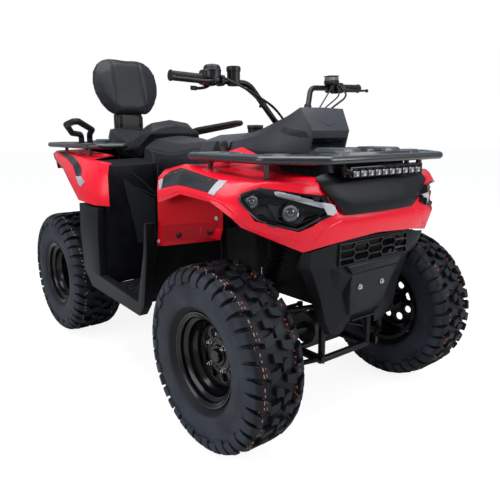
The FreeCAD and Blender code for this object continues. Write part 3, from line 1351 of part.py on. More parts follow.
doc.recompute()
for item in doc.Objects:
    for state in item.State:
        if state in ("Invalid", "Error"):
            raise RuntimeError("%s is %s" % (item.Label, state))
for item in subParts:
    if item.Shape.isNull() or not item.Shape.isValid():
        raise RuntimeError("%s has no valid shape" % item.Label)
os.makedirs("parts", exist_ok=True)
for item in subParts:
    item.Shape.exportStep("parts/%s.step" % item.Label)
box = Part.makeCompound([item.Shape for item in subParts]).BoundBox
print("box", box.XMin, box.XMax, box.YMin, box.YMax, box.ZMin, box.ZMax)
print("nodes", len(subParts))
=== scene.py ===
import json
import math
import bmesh
import bpy
import numpy as np
from mathutils import Matrix, Vector, Quaternion
from mathutils.bvhtree import BVHTree
from mathutils.kdtree import KDTree


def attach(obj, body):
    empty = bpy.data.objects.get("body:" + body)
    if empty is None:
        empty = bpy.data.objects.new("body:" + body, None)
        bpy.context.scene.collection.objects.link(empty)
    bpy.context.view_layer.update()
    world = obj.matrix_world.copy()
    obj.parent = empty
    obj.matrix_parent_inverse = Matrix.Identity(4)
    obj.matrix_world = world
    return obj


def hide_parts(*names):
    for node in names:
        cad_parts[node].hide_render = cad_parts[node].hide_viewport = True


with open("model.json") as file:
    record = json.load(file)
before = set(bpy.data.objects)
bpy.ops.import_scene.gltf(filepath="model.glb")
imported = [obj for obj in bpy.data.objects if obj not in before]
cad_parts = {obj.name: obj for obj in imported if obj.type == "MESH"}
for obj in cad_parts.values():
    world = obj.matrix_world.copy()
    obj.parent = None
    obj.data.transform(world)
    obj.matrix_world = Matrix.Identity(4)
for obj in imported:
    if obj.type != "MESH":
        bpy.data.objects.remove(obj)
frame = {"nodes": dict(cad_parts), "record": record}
nodes = frame["nodes"]
bodyOf = {name: body for body, names in frame["record"]["behaviour"]["bodies"].items() for name in names}
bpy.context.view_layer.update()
print("stage: model loaded")


# camera

view = {"azimuth": 51.108, "elevation": 12.542, "roll": -0.182, "lens": 38.34, "place": (2.135, -1.471, 1.063)}


def placeCamera():
    data = bpy.data.cameras.new("photoCamera")
    data.lens = view["lens"]
    data.sensor_width = 36
    camera = bpy.data.objects.new("photoCamera", data)
    bpy.context.scene.collection.objects.link(camera)
    az, el = math.radians(view["azimuth"]), math.radians(view["elevation"])
    back = Vector((math.sin(az) * math.cos(el), -math.cos(az) * math.cos(el), math.sin(el)))
    turn = (-back).to_track_quat("-Z", "Y") @ Quaternion((0, 0, 1), math.radians(view["roll"]))
    camera.location = view["place"]
    camera.rotation_mode = "QUATERNION"
    camera.rotation_quaternion = turn
    bpy.context.scene.camera = camera


placeCamera()


# shader node helpers

def addNode(tree, kind, inputs=None, **settings):
    # an input is a value or another node's output
    node = tree.nodes.new("ShaderNode" + kind)
    for label, value in settings.items():
        setattr(node, label, value)
    for label, value in (inputs or {}).items():
        if isinstance(value, bpy.types.NodeSocket):
            tree.links.new(value, node.inputs[label])
        else:
            node.inputs[label].default_value = value
    return node


def mathNode(tree, operation, first, second=0.0):
    return addNode(tree, "Math", {0: first, 1: second}, operation=operation).outputs[0]


def mapRange(tree, value, low, high, toLow=0.0, toHigh=1.0):
    spread = {"Value": value, "From Min": low, "From Max": high, "To Min": toLow, "To Max": toHigh}
    return addNode(tree, "MapRange", spread).outputs["Result"]


def objectPlace(tree):
    return addNode(tree, "TexCoord").outputs["Object"]


def blend(tree, share, first, second):
    # colours are plain tuples or sockets
    ends = [value + (1,) if isinstance(value, tuple) else value for value in (first, second)]
    return addNode(tree, "Mix", {0: share, 6: ends[0], 7: ends[1]}, data_type="RGBA").outputs[2]


# light, floor and background

studio = {
    "worldColour": (0.88, 0.93, 1.0, 1), "worldStrength": 0.38,
    "lights": {"topLight": ((0.4, -0.2, 3.6), (0.1, 0, 0.6), (3.6, 2.6), 128),  # place, aim, size, power
               "frontLight": ((3.6, 1.4, 2.0), (0.4, 0, 0.6), (2.4, 1.8), 60),
               "sideLight": ((0.2, -3.8, 1.9), (0, 0, 0.5), (3.4, 1.6), 51)},
    "floorSize": 30, "floorColour": (0.62, 0.62, 0.62, 1), "floorGlow": 1.75, "floorShare": 0.50,
}


def areaLight(name, place, aim, size, power):
    data = bpy.data.lights.new(name, "AREA")
    data.shape = "RECTANGLE"
    data.size, data.size_y = size
    data.energy = power
    lamp = bpy.data.objects.new(name, data)
    lamp.location = place
    lamp.rotation_euler = (Vector(aim) - Vector(place)).to_track_quat("-Z", "Y").to_euler()
    bpy.context.scene.collection.objects.link(lamp)


def emptyTree(owner):
    owner.use_nodes = True
    owner.node_tree.nodes.clear()
    return owner.node_tree


def studioSetup():
    scene = bpy.context.scene
    scene.view_settings.view_transform = "Standard"
    scene.world = bpy.data.worlds.new("studioWorld")
    tree = emptyTree(scene.world)
    plain = addNode(tree, "Background", {"Color": studio["worldColour"], "Strength": studio["worldStrength"]})
    white = addNode(tree, "Background", {"Color": (1, 1, 1, 1)})
    seen = addNode(tree, "LightPath").outputs["Is Camera Ray"]
    mixer = addNode(tree, "MixShader", {"Fac": seen, 1: plain.outputs[0], 2: white.outputs[0]})
    addNode(tree, "OutputWorld", {"Surface": mixer.outputs[0]})
    for name, (place, aim, size, power) in studio["lights"].items():
        areaLight(name, place, aim, size, power)

    bm = bmesh.new()
    bmesh.ops.create_grid(bm, x_segments=1, y_segments=1, size=studio["floorSize"])
    mesh = bpy.data.meshes.new("floor")
    bm.to_mesh(mesh)
    bm.free()
    floor = bpy.data.objects.new("floor", mesh)
    scene.collection.objects.link(floor)
    paper = bpy.data.materials.new("floorPaper")
    tree = emptyTree(paper)
    diffuse = addNode(tree, "BsdfDiffuse", {"Color": studio["floorColour"]})
    glow = addNode(tree, "Emission", {"Strength": studio["floorGlow"]})
    seen = addNode(tree, "LightPath").outputs["Is Camera Ray"]
    share = mathNode(tree, "MULTIPLY", seen, studio["floorShare"])
    mixer = addNode(tree, "MixShader", {"Fac": share, 1: diffuse.outputs[0], 2: glow.outputs[0]})
    addNode(tree, "OutputMaterial", {"Surface": mixer.outputs[0]})
    mesh.materials.append(paper)


studioSetup()
print("stage: studio ready")


# shared effects, each a node group built once

def startGroup(name, inputs, outputs):
    group = bpy.data.node_groups.new(name, "ShaderNodeTree")
    for label, value in inputs.items():
        socket = group.interface.new_socket(name=label, in_out="INPUT", socket_type="NodeSocketFloat")
        socket.default_value = value
    for label in outputs:
        group.interface.new_socket(name=label, in_out="OUTPUT", socket_type="NodeSocketFloat")
    entry = group.nodes.new("NodeGroupInput")
    leave = group.nodes.new("NodeGroupOutput")
    return group, entry, leave


def grainGroup():
    # pebbled mould texture: height, a fine mask and a slow drift of colour
    group, entry, leave = startGroup("mouldGrain", {"Scale": 600.0, "Coarse": 6.0}, ("Height", "Mask", "Drift"))
    place = objectPlace(group)
    fineScale = mathNode(group, "MULTIPLY", entry.outputs["Scale"], 0.45)
    cells = addNode(group, "TexVoronoi", {"Vector": place, "Scale": entry.outputs["Scale"]})
    fine = addNode(group, "TexNoise", {"Vector": place, "Scale": fineScale, "Detail": 5})
    slow = addNode(group, "TexNoise", {"Vector": place, "Scale": entry.outputs["Coarse"], "Detail": 4})
    height = mathNode(group, "ADD", mathNode(group, "MULTIPLY", cells.outputs["Distance"], 0.6),
                      mathNode(group, "MULTIPLY", fine.outputs["Fac"], 0.7))
    group.links.new(height, leave.inputs["Height"])
    group.links.new(fine.outputs["Fac"], leave.inputs["Mask"])
    group.links.new(slow.outputs["Fac"], leave.inputs["Drift"])
    return group


def wearGroup():
    # patches of dust, and paler wear on the edges
    group, entry, leave = startGroup("dustAndWear", {"Dust": 0.1, "Wear": 0.1}, ("Dust mask", "Wear mask"))
    surface = group.nodes.new("ShaderNodeNewGeometry")
    noise = addNode(group, "TexNoise", {"Vector": objectPlace(group), "Scale": 14, "Detail": 7})
    edge = mapRange(group, surface.outputs["Pointiness"], 0.53, 0.62)
    patchy = mapRange(group, noise.outputs["Fac"], 0.42, 0.68)
    dust = mathNode(group, "MULTIPLY", patchy, entry.outputs["Dust"])
    worn = mathNode(group, "MULTIPLY", mathNode(group, "MULTIPLY", edge, patchy), entry.outputs["Wear"])
    group.links.new(dust, leave.inputs["Dust mask"])
    group.links.new(worn, leave.inputs["Wear mask"])
    return group


grain = grainGroup()
wear = wearGroup()


# finishes

wallPaler, wallDarker = 1.25, 0.62  # mottling of a tyre's sidewall


def dashed(tree, base, look):
    # broken lines painted round the tread, read from the tread map, and a smoother and paler sidewall
    place = objectPlace(tree)
    mapping = addNode(tree, "UVMap", uv_map="treadMap").outputs["UV"]
    split = addNode(tree, "SeparateXYZ", {0: mapping})
    turn = mathNode(tree, "FRACT", mathNode(tree, "MULTIPLY", split.outputs[0], 96.0))
    noise = addNode(tree, "TexNoise", {"Vector": place, "Scale": 60})
    patchy = mathNode(tree, "GREATER_THAN", noise.outputs["Fac"], 0.44)
    for across, colour, gap in look["dashes"]:
        off = mathNode(tree, "ABSOLUTE", mathNode(tree, "SUBTRACT", split.outputs[1], across * 10))
        line = mathNode(tree, "LESS_THAN", off, 0.011)
        broken = mathNode(tree, "LESS_THAN", turn, gap)
        mask = mathNode(tree, "MULTIPLY", mathNode(tree, "MULTIPLY", line, broken), patchy)
        base = blend(tree, mathNode(tree, "MULTIPLY", mask, 0.75), base, colour)
    across = mathNode(tree, "ABSOLUTE", split.outputs[1])
    wall = mapRange(tree, across, look["half"] * 9.0, look["half"] * 9.7)
    mottle = addNode(tree, "TexNoise", {"Vector": place, "Scale": 9, "Detail": 6})
    spread = mapRange(tree, mottle.outputs["Fac"], 0.35, 0.65)
    tones = [tuple(c * tone for c in look["wall"]) for tone in (wallDarker, wallPaler)]
    return blend(tree, wall, base, blend(tree, spread, *tones))


commonLook = dict(metal=0.0, coat=0.0, coatRough=0.05, sheen=0.0, grain=700.0, coarse=6.0, dust=0.10, wear=0.2,
                  dustColour=(0.32, 0.31, 0.29), roughSpread=0.06, bump=0.2, bumpDepth=0.0006, specular=0.5)


def finish(name, own):
    look = {**commonLook, **own}
    mat = bpy.data.materials.new(name)
    mat.use_nodes = True
    tree = mat.node_tree
    shader = tree.nodes["Principled BSDF"]
    for socket, key in (("Metallic", "metal"), ("Coat Weight", "coat"), ("Coat Roughness", "coatRough"),
                        ("Sheen Weight", "sheen"), ("Specular IOR Level", "specular")):
        shader.inputs[socket].default_value = look[key]
    shader.inputs["Sheen Roughness"].default_value = 0.4
    texture = tree.nodes.new("ShaderNodeGroup")
    texture.node_tree = grain
    texture.inputs["Scale"].default_value = look["grain"]
    texture.inputs["Coarse"].default_value = look["coarse"]
    aged = tree.nodes.new("ShaderNodeGroup")
    aged.node_tree = wear
    aged.inputs["Dust"].default_value = look["dust"]
    aged.inputs["Wear"].default_value = look["wear"]
    colour = look["colour"]
    second = look.get("second", tuple(c * 0.86 for c in colour))
    worn = look.get("wearColour", tuple(min(1, c * 1.9 + 0.05) for c in colour))
    base = blend(tree, texture.outputs["Drift"], second, colour)
    base = blend(tree, aged.outputs["Dust mask"], base, look["dustColour"])
    base = blend(tree, aged.outputs["Wear mask"], base, worn)
    if "dashes" in look:
        base = dashed(tree, base, look)
    tree.links.new(base, shader.inputs["Base Color"])
    low, high = max(0.0, look["rough"] - look["roughSpread"]), min(1.0, look["rough"] + look["roughSpread"])
    tree.links.new(mapRange(tree, texture.outputs["Mask"], 0.0, 1.0, low, high), shader.inputs["Roughness"])
    bump = addNode(tree, "Bump", {"Strength": look["bump"], "Distance": look["bumpDepth"],
                                  "Height": texture.outputs["Height"]})
    tree.links.new(bump.outputs["Normal"], shader.inputs["Normal"])
    return mat


clean = dict(dust=0.0, wear=0.0)
moulded = dict(rough=0.42, bump=0.30, grain=900.0, dust=0.008, wear=0.05)
rack = dict(rough=0.30, bump=0.30, grain=1000.0, dust=0.01, wear=0.05, specular=0.34)
tyre = dict(colour=(0.0062, 0.0078, 0.0120), wall=(0.0250, 0.0305, 0.0430), rough=0.56, bump=0.28, grain=450.0,
            dust=0.02, wear=0.20, wearColour=(0.050, 0.056, 0.068), dustColour=(0.08, 0.088, 0.10),
            specular=0.26)
orangeDash, sandDash = ((0.75, 0.16, 0.07), 0.45), ((0.62, 0.42, 0.32), 0.55)
tealDash, greyDash = ((0.05, 0.36, 0.38), 0.50), ((0.55, 0.58, 0.60), 0.45)

looks = {
    "redPaint": dict(clean, colour=(0.94, 0.005, 0.028), second=(0.88, 0.005, 0.026), rough=0.26,
                     roughSpread=0.02, coat=0.10, bump=0.015, bumpDepth=0.0004, grain=260.0, specular=0.32),
    # a darker copy of the red paint: painted shade on the liner under each front fender arch
    "redLinerShade": dict(clean, colour=(0.50, 0.001, 0.008), rough=0.36, bump=0.06, specular=0.14),
    # darker still: painted shade on the liner's lower band
    "redLowerShade": dict(clean, colour=(0.36, 0.001, 0.007), rough=0.42, bump=0.08, specular=0.12),
    "decalBlack": dict(colour=(0.010, 0.012, 0.016), rough=0.27, coat=0.15, bump=0.05, grain=1400.0, dust=0.0,
                       wear=0.02, specular=0.3),
    "blackPlastic": dict(moulded, colour=(0.0052, 0.0060, 0.0082), specular=0.20),
    "coverPlastic": dict(moulded, colour=(0.0062, 0.0072, 0.0098), rough=0.40, specular=0.24),
    "grillePlastic": dict(colour=(0.012, 0.013, 0.016), rough=0.33, bump=0.16, dust=0.01),
    # near-black a little darker than the black plastic: painted shade in wells, pockets, holes and inner panels
    "wellShadeBlack": dict(moulded, colour=(0.0042, 0.0047, 0.0062), rough=0.50, wear=0.04, specular=0.14),
    "glossBlack": dict(colour=(0.0030, 0.0030, 0.0045), rough=0.13, coat=0.15, bump=0.02, dust=0.0, wear=0.02,
                       specular=0.35),
    "controlPlastic": dict(colour=(0.0070, 0.0075, 0.0095), rough=0.34, bump=0.22, grain=1200.0, dust=0.006,
                           wear=0.06, specular=0.34),
    "greyPlastic": dict(moulded, colour=(0.0430, 0.0460, 0.0580), bump=0.32, specular=0.34),
    # a darker copy of the pod's grey plastic: painted shade in the side recess and the vee
    "podShade": dict(moulded, colour=(0.0220, 0.0240, 0.0310), rough=0.40, dust=0.006, wear=0.03, specular=0.25),
    "rackPlastic": dict(rack, colour=(0.0130, 0.0165, 0.0215), coat=0.80, coatRough=0.12),
    # a paler copy of the rack plastic: painted sky reflection on the plates' upper faces and on the ribs
    "rackSkySheen": dict(rack, colour=(0.060, 0.076, 0.092), second=(0.036, 0.046, 0.058), rough=0.32, coat=0.60,
                    coatRough=0.14),
    "blackSteel": dict(colour=(0.0032, 0.0033, 0.0040), rough=0.32, coat=0.1, bump=0.10, grain=500.0, dust=0.01,
                       wear=0.12, specular=0.20),
    "rimSteel": dict(colour=(0.0030, 0.0030, 0.0040), rough=0.22, roughSpread=0.03, coat=0.2, bump=0.05,
                     grain=420.0, dust=0.006, wear=0.10, specular=0.30),
    # a lighter copy of the foot well plastic: painted light on the wall's facet and creases
    "wellLitGrey": dict(moulded, colour=(0.0210, 0.0235, 0.0300), dust=0.006, wear=0.04, specular=0.25),
    "tyreFront": dict(tyre, half=0.104,
                      dashes=((0.0655, *orangeDash), (0.0745, *sandDash), (-0.0655, *orangeDash))),
    "tyreRear": dict(tyre, half=0.125, dashes=((0.0790, *tealDash), (0.0860, *greyDash), (-0.0790, *tealDash))),
    "softRubber": dict(colour=(0.0055, 0.0057, 0.0070), rough=0.50, bump=0.25, dust=0.006, wear=0.03,
                       specular=0.28),
    "seatVinyl": dict(colour=(0.0125, 0.0142, 0.0190), rough=0.40, bump=0.42, grain=520.0, sheen=0.05,
                      dust=0.003, wear=0.02, specular=0.30),
    "stitch": dict(colour=(0.060, 0.063, 0.072), rough=0.6, grain=2000.0),
    "castMetal": dict(colour=(0.050, 0.050, 0.055), rough=0.45, metal=0.7, bump=0.30, grain=320.0, dust=0.03),
    "steelPart": dict(colour=(0.030, 0.030, 0.034), rough=0.34, metal=0.8, bump=0.06, dust=0.02),
    "steelBright": dict(colour=(0.62, 0.63, 0.65), rough=0.22, metal=1.0, bump=0.05, dust=0.0),
    "steelDull": dict(colour=(0.17, 0.175, 0.19), rough=0.36, metal=0.5, bump=0.10, dust=0.0),
    "silverTrim": dict(colour=(0.46, 0.45, 0.50), rough=0.36, bump=0.08, dust=0.0),
    "stripSilver": dict(clean, colour=(0.66, 0.66, 0.72), second=(0.60, 0.60, 0.66), rough=0.34, bump=0.06),
    "lampGlass": dict(colour=(0.24, 0.26, 0.29), rough=0.10, metal=0.9, coat=0.6, bump=0.0),
    "lampGrey": dict(colour=(0.030, 0.034, 0.043), rough=0.24, coat=0.2, bump=0.05, dust=0.0),
    "lensGlass": dict(colour=(0.08, 0.09, 0.11), rough=0.05, metal=0.85, coat=1.0, bump=0.0),
    "redLens": dict(colour=(0.10, 0.003, 0.006), rough=0.14, coat=0.8, bump=0.03),
    "ledWhite": dict(colour=(0.15, 0.155, 0.165), rough=0.20, metal=0.2, coat=0.6, bump=0.03),
    "ledBright": dict(colour=(0.40, 0.41, 0.42), rough=0.14, metal=0.4, coat=0.8, bump=0.0),
}
finishes = {name: finish(name, look) for name, look in looks.items()}
print("stage: finishes ready")


# helpers for pieces, panels, beads, turned shapes and eased blocks

def asPiece(name, bm, finishName, body, stands=(), sharp=32):
    mesh = bpy.data.meshes.new(name)
    bmesh.ops.recalc_face_normals(bm, faces=bm.faces)
    for face in bm.faces:
        face.smooth = True
    for edge in bm.edges:
        edge.smooth = not (len(edge.link_faces) == 2 and edge.calc_face_angle(0) > math.radians(sharp))
    bm.to_mesh(mesh)
    bm.free()
    piece = bpy.data.objects.new(name, mesh)
    bpy.context.scene.collection.objects.link(piece)
    mesh.materials.append(finishes[finishName])
    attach(piece, body)
    if stands:
        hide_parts(*stands)
    return piece


def nodeMesh(name, flatTurn=0.6):
    bm = bmesh.new()
    bm.from_mesh(nodes[name].data)
    bmesh.ops.remove_doubles(bm, verts=bm.verts, dist=0.00002)
    bmesh.ops.dissolve_limit(bm, angle_limit=math.radians(flatTurn), verts=bm.verts, edges=bm.edges)
    return bm


def easeEdges(bm, edges, width, segments=2):
    bmesh.ops.bevel(bm, geom=list(edges), offset=width, offset_type="OFFSET", segments=segments, profile=0.5,
                    affect="EDGES", clamp_overlap=True, material=-1)


def sharpEdges(bm, turn=35):
    return [e for e in bm.edges if len(e.link_faces) == 2 and e.calc_face_angle(0) > math.radians(turn)]


def vertsOf(made):
    return [item for item in made["geom"] if isinstance(item, bmesh.types.BMVert)]


def extruded(bm, faces, move):
    # the faces are drawn out along a vector and stay where they were too
    raised = bmesh.ops.extrude_face_region(bm, geom=faces)
    bmesh.ops.translate(bm, verts=vertsOf(raised), vec=move)


def softened(name, finishName, width=0.003, turn=34, sharp=38):
    # a CAD node with its edges eased and its faces smooth
    bm = nodeMesh(name)
    easeEdges(bm, sharpEdges(bm, turn), width)
    return asPiece(name + "Piece", bm, finishName, bodyOf[name], (name,), sharp)


def tinted(name, finishName):
    node = nodes[name]
    node.data.materials.clear()
    node.data.materials.append(finishes[finishName])

surfaces = {}


def surfaceOf(names):
    # search tree over one or more CAD nodes
    if names not in surfaces:
        bm = bmesh.new()
        for name in names:
            bm.from_mesh(nodes[name].data)
        surfaces[names] = BVHTree.FromBMesh(bm)
        bm.free()
    return surfaces[names]


def dropOn(spot, facing, names, reach=0.15):
    # the place on the surface under a point, seen from the side that it faces
    surface = surfaceOf(names)
    found = surface.ray_cast(spot + facing * reach, -facing, 2 * reach)[0]
    return found or surface.find_nearest(spot)[0]


def joinInto(bm, part):
    holder = bpy.data.meshes.new("holder")
    part.to_mesh(holder)
    part.free()
    bm.from_mesh(holder)
    bpy.data.meshes.remove(holder)


def bothSides(bm):
    made = bmesh.ops.duplicate(bm, geom=bm.verts[:] + bm.edges[:] + bm.faces[:])
    bmesh.ops.scale(bm, vec=(1, -1, 1), verts=vertsOf(made))
    return bm


def gridCuts(bm, axis, step):
    # parallel cuts, so that a flat outline can follow a curved surface
    spots = [v.co.dot(axis) for v in bm.verts]
    low, high = min(spots), max(spots)
    for i in range(1, int((high - low) / step) + 1):
        at = low + i * step
        bmesh.ops.bisect_plane(bm, geom=bm.verts[:] + bm.edges[:] + bm.faces[:], dist=0.00001,
                               plane_co=axis * at, plane_no=axis)


def panelOn(bm, outline, facing, names, lift=0.0006, thick=0.0012, step=0.014, reach=0.15, ease=0.0004, span=0):
    # a thin panel laid on the bodywork, with its rim eased; with a span it bridges the seams below it
    facing = Vector(facing).normalized()
    points = [Vector(p) for p in outline]
    middle = sum(points, Vector()) / len(points)
    across = facing.orthogonal().normalized()
    part = bmesh.new()
    part.faces.new([part.verts.new(p - facing * (p - middle).dot(facing)) for p in points])
    bmesh.ops.triangulate(part, faces=part.faces[:], quad_method="BEAUTY", ngon_method="BEAUTY")
    gridCuts(part, across, step)
    upward = facing.cross(across)
    gridCuts(part, upward, step)
    steps = (-span, 0, span) if span else (0,)
    shifts = [across * a + upward * b for a in steps for b in steps]
    for vert in part.verts:
        found = [dropOn(vert.co + shift, facing, names, reach) - shift for shift in shifts]
        vert.co = max(found, key=lambda spot: spot.dot(facing)) + facing * lift
    extruded(part, part.faces[:], facing * thick)
    bmesh.ops.recalc_face_normals(part, faces=part.faces[:])
    if ease:
        easeEdges(part, sharpEdges(part, 55), ease, 1)
    joinInto(bm, part)


def smoothPath(points, count):
    return [Vector(p) for p in smoothLine([tuple(p) for p in points], count)]


def beadAlong(bm, points, radius, segments=12, count=6, taper=1.0):
    # a round bar swept along a smooth line through the points, closed at both ends
    line = smoothPath(points, count)
    way = (line[1] - line[0]).normalized()
    lay = Matrix.Translation(line[0]) @ way.to_track_quat("Z", "Y").to_matrix().to_4x4()
    ring = bmesh.ops.create_circle(bm, cap_ends=False, radius=radius, segments=segments, matrix=lay)["verts"]
    edges = list({e for v in ring for e in v.link_edges})
    bmesh.ops.contextual_create(bm, geom=edges)
    shrink = taper ** (1 / (len(line) - 1))
    for i in range(1, len(line)):
        onward = (line[min(i + 1, len(line) - 1)] - line[i - 1]).normalized()
        made = bmesh.ops.extrude_edge_only(bm, edges=edges)["geom"]
        ring = {g for g in made if isinstance(g, bmesh.types.BMVert)}
        edges = [g for g in made if isinstance(g, bmesh.types.BMEdge) and set(g.verts) <= ring]
        step = Matrix.Translation(line[i]) @ way.rotation_difference(onward).to_matrix().to_4x4()
        step = step @ Matrix.Diagonal((shrink, shrink, shrink, 1)) @ Matrix.Translation(-line[i - 1])
        bmesh.ops.transform(bm, matrix=step, verts=list(ring))
        way = onward
    bmesh.ops.contextual_create(bm, geom=edges)


def beadOn(bm, points, facing, names, radius, sunk, reach=0.15):
    # a soft ridge along a line on the bodywork
    facing = Vector(facing).normalized()
    line = smoothPath(points, 8)
    beadAlong(bm, [dropOn(p, facing, names, reach) - facing * sunk for p in line], radius, 10, 1)


def turned(bm, profile, place, way, steps=40):
    # pairs of radius and height turned about the axis that leaves a place along a direction
    part = bmesh.new()
    verts = [part.verts.new((r, 0, h)) for r, h in profile]
    edges = [part.edges.new((a, b)) for a, b in zip(verts, verts[1:])]
    bmesh.ops.spin(part, geom=verts + edges, cent=(0, 0, 0), axis=(0, 0, 1), angle=2 * math.pi, steps=steps,
                   use_merge=True)
    bmesh.ops.remove_doubles(part, verts=part.verts[:], dist=0.000001)
    lay = Matrix.Translation(place) @ Vector(way).to_track_quat("Z", "Y").to_matrix().to_4x4()
    bmesh.ops.transform(part, matrix=lay, verts=part.verts[:])
    joinInto(bm, part)


def block(bm, size, lay, ease=0.002, segments=2):
    # a box with eased edges; lay is its place, or a matrix
    lay = lay if isinstance(lay, Matrix) else Matrix.Translation(lay)
    made = bmesh.ops.create_cube(bm, size=1, matrix=lay @ Matrix.Diagonal((*size, 1)))["verts"]
    easeEdges(bm, {e for v in made for e in v.link_edges}, ease, segments)


def hexBolt(bm, place, way, radius=0.007):
    # a washer and a six-sided head with a socket
    lay = Matrix.Translation(place) @ Vector(way).to_track_quat("Z", "Y").to_matrix().to_4x4()
    bmesh.ops.create_cone(bm, cap_ends=True, segments=24, radius1=radius * 1.35, radius2=radius * 1.25,
                          depth=radius * 0.2, matrix=lay @ Matrix.Translation((0, 0, radius * 0.1)))
    made = bmesh.ops.create_cone(bm, cap_ends=True, segments=6, radius1=radius, radius2=radius * 0.96,
                                 depth=radius * 0.6,
                                 matrix=lay @ Matrix.Translation((0, 0, radius * 0.5)))["verts"]
    tops = [f for f in {f for v in made for f in v.link_faces} if len(f.verts) == 6]
    tops.sort(key=lambda f: (f.calc_center_median() - Vector(place)).length)
    bmesh.ops.inset_region(bm, faces=[tops[-1]], thickness=radius * 0.42, depth=0)
    bmesh.ops.inset_region(bm, faces=[tops[-1]], thickness=radius * 0.02, depth=-radius * 0.3)


# wheels: carcass, lugs, rim and nuts, built about the Y axis and then set in place

wheelLook = {
    "steps": 168, "groups": 19, "lugHeight": 0.0185, "lugWide": 0.0370, "lugNarrow": 0.0300, "slant": 0.020,
    "sunk": 0.004, "bevel": 0.0014,
    "ribs": ((0.186, 0.0011), (0.2005, 0.0008), (0.2045, 0.0008), (0.2285, 0.0009)),
    "ribWide": 0.0012, "disc": 0.012, "nutRing": 0.055, "nutSize": 0.0074, "windows": 8, "windowRing": 0.078,
    "windowSizes": (0.0150, 0.0165), "flange": 0.165, "beadSeat": 0.152, "well": 0.126,
}
# shape of a carcass and path of its lugs: share of the half width, and radius
shoulderLine = [(0.985, 0.262), (0.93, 0.281), (0.80, 0.293), (0.62, 0.2995), (0.42, 0.3015)]


def smoothLine(points, count):
    # Catmull-Rom through the control points
    line = []
    for i in range(len(points) - 1):
        p0 = points[max(i - 1, 0)]
        p1, p2 = points[i], points[i + 1]
        p3 = points[min(i + 2, len(points) - 1)]
        for k in range(count):
            t = k / count
            line.append(tuple(0.5 * (2 * b + (c - a) * t + (2 * a - 5 * b + 4 * c - e) * t * t
                                     + (3 * b - a - 3 * c + e) * t ** 3) for a, b, c, e in zip(p0, p1, p2, p3)))
    line.append(points[-1])
    return line


def spunShape(bm, profile, steps, closed=False):
    # profile of (across, radius) turned about the Y axis
    verts = [bm.verts.new((0, y, r)) for y, r in profile]
    edges = [bm.edges.new((verts[i], verts[i + 1])) for i in range(len(verts) - 1)]
    if closed:
        edges.append(bm.edges.new((verts[-1], verts[0])))
    bmesh.ops.spin(bm, geom=verts + edges, cent=(0, 0, 0), axis=(0, 1, 0), angle=2 * math.pi, steps=steps,
                   use_merge=True)


def around(angle, across, radius, shift=0.0):
    # point on the wheel: the angle grows from the ground, shift runs along the tangent
    radial = Vector((math.cos(angle), 0, math.sin(angle)))
    tangent = Vector((-math.sin(angle), 0, math.cos(angle)))
    return radial * radius + tangent * shift + Vector((0, across, 0))


def alongPath(path, share):
    spot = share * (len(path) - 1)
    i = min(int(spot), len(path) - 2)
    return tuple(a + (b - a) * (spot - i) for a, b in zip(path[i], path[i + 1]))


def lugShape(bm, angle, side, path, wide, narrow, slant):
    # a bar that starts on the sidewall, wraps over the shoulder and runs into the tread
    look = wheelLook
    made = bmesh.ops.create_grid(bm, x_segments=7, y_segments=3, size=0.5)["verts"]
    spots = {}
    for vert in made:
        share, part = vert.co.x + 0.5, vert.co.y
        across, radius, rise, outward, sideways = alongPath(path, share)
        shift = part * (wide + (narrow - wide) * share) + slant * share * share
        vert.co = around(angle, side * across, radius - look["sunk"], shift)
        radial = Vector((vert.co.x, 0, vert.co.z)).normalized()
        away = radial * outward + Vector((0, side * sideways, 0))
        spots[tuple(round(c, 6) for c in vert.co)] = away * (rise + look["sunk"])
    under = list({f for v in made for f in v.link_faces})
    raised = bmesh.ops.extrude_face_region(bm, geom=under)
    for vert in vertsOf(raised):
        vert.co += spots[tuple(round(c, 6) for c in vert.co)]
    bmesh.ops.delete(bm, geom=[f for f in under if f.is_valid], context="FACES_ONLY")


def treadPath(half, low, high):
    # along the surface from the sidewall to the middle: across, radius, rise and normal
    corners = [(0.992, 0.238)] + shoulderLine + [(0.16, 0.3018), (0.0, 0.302)]
    raw = smoothLine([(half * y, r) for y, r in corners], 4)
    path = []
    for i, (y, r) in enumerate(raw):
        before, after = raw[max(i - 1, 0)], raw[min(i + 1, len(raw) - 1)]
        dy, dr = after[0] - before[0], after[1] - before[1]
        size = math.hypot(dy, dr)
        share = i / (len(raw) - 1)
        rise = wheelLook["lugHeight"] * min(1.0, max(0.10, 2.6 * (share - 0.08)))
        path.append((y, r, rise, -dy / size, dr / size))
    first, last = int(low * (len(path) - 1)), int(high * (len(path) - 1))
    return path[first:last + 1]


def lugGroup(half):
    # two bars a side and the blocks between them: one group is repeated round the tyre
    look = wheelLook
    bm = bmesh.new()
    step = 2 * math.pi / look["groups"]
    longPath, shortPath = treadPath(half, 0.15, 0.68), treadPath(half, 0.24, 0.60)
    outerPath, middlePath = treadPath(half, 0.70, 0.92), treadPath(half, 0.80, 1.0)
    for side, phase in ((1, 0.0), (-1, 0.25)):
        start = phase * step
        lugShape(bm, start, side, longPath, look["lugWide"], look["lugNarrow"], look["slant"])
        lugShape(bm, start + 0.50 * step, side, shortPath, look["lugWide"], look["lugNarrow"] * 0.94,
                 look["slant"])
        lugShape(bm, start + 0.34 * step, side, outerPath, 0.0300, 0.0240, -0.010)
        lugShape(bm, start + 0.82 * step, side, middlePath, 0.0280, 0.0220, 0.012)
    easeEdges(bm, sharpEdges(bm, 40), look["bevel"], 1)
    mesh = bpy.data.meshes.new("lugGroup")
    bm.to_mesh(mesh)
    bm.free()
    return mesh


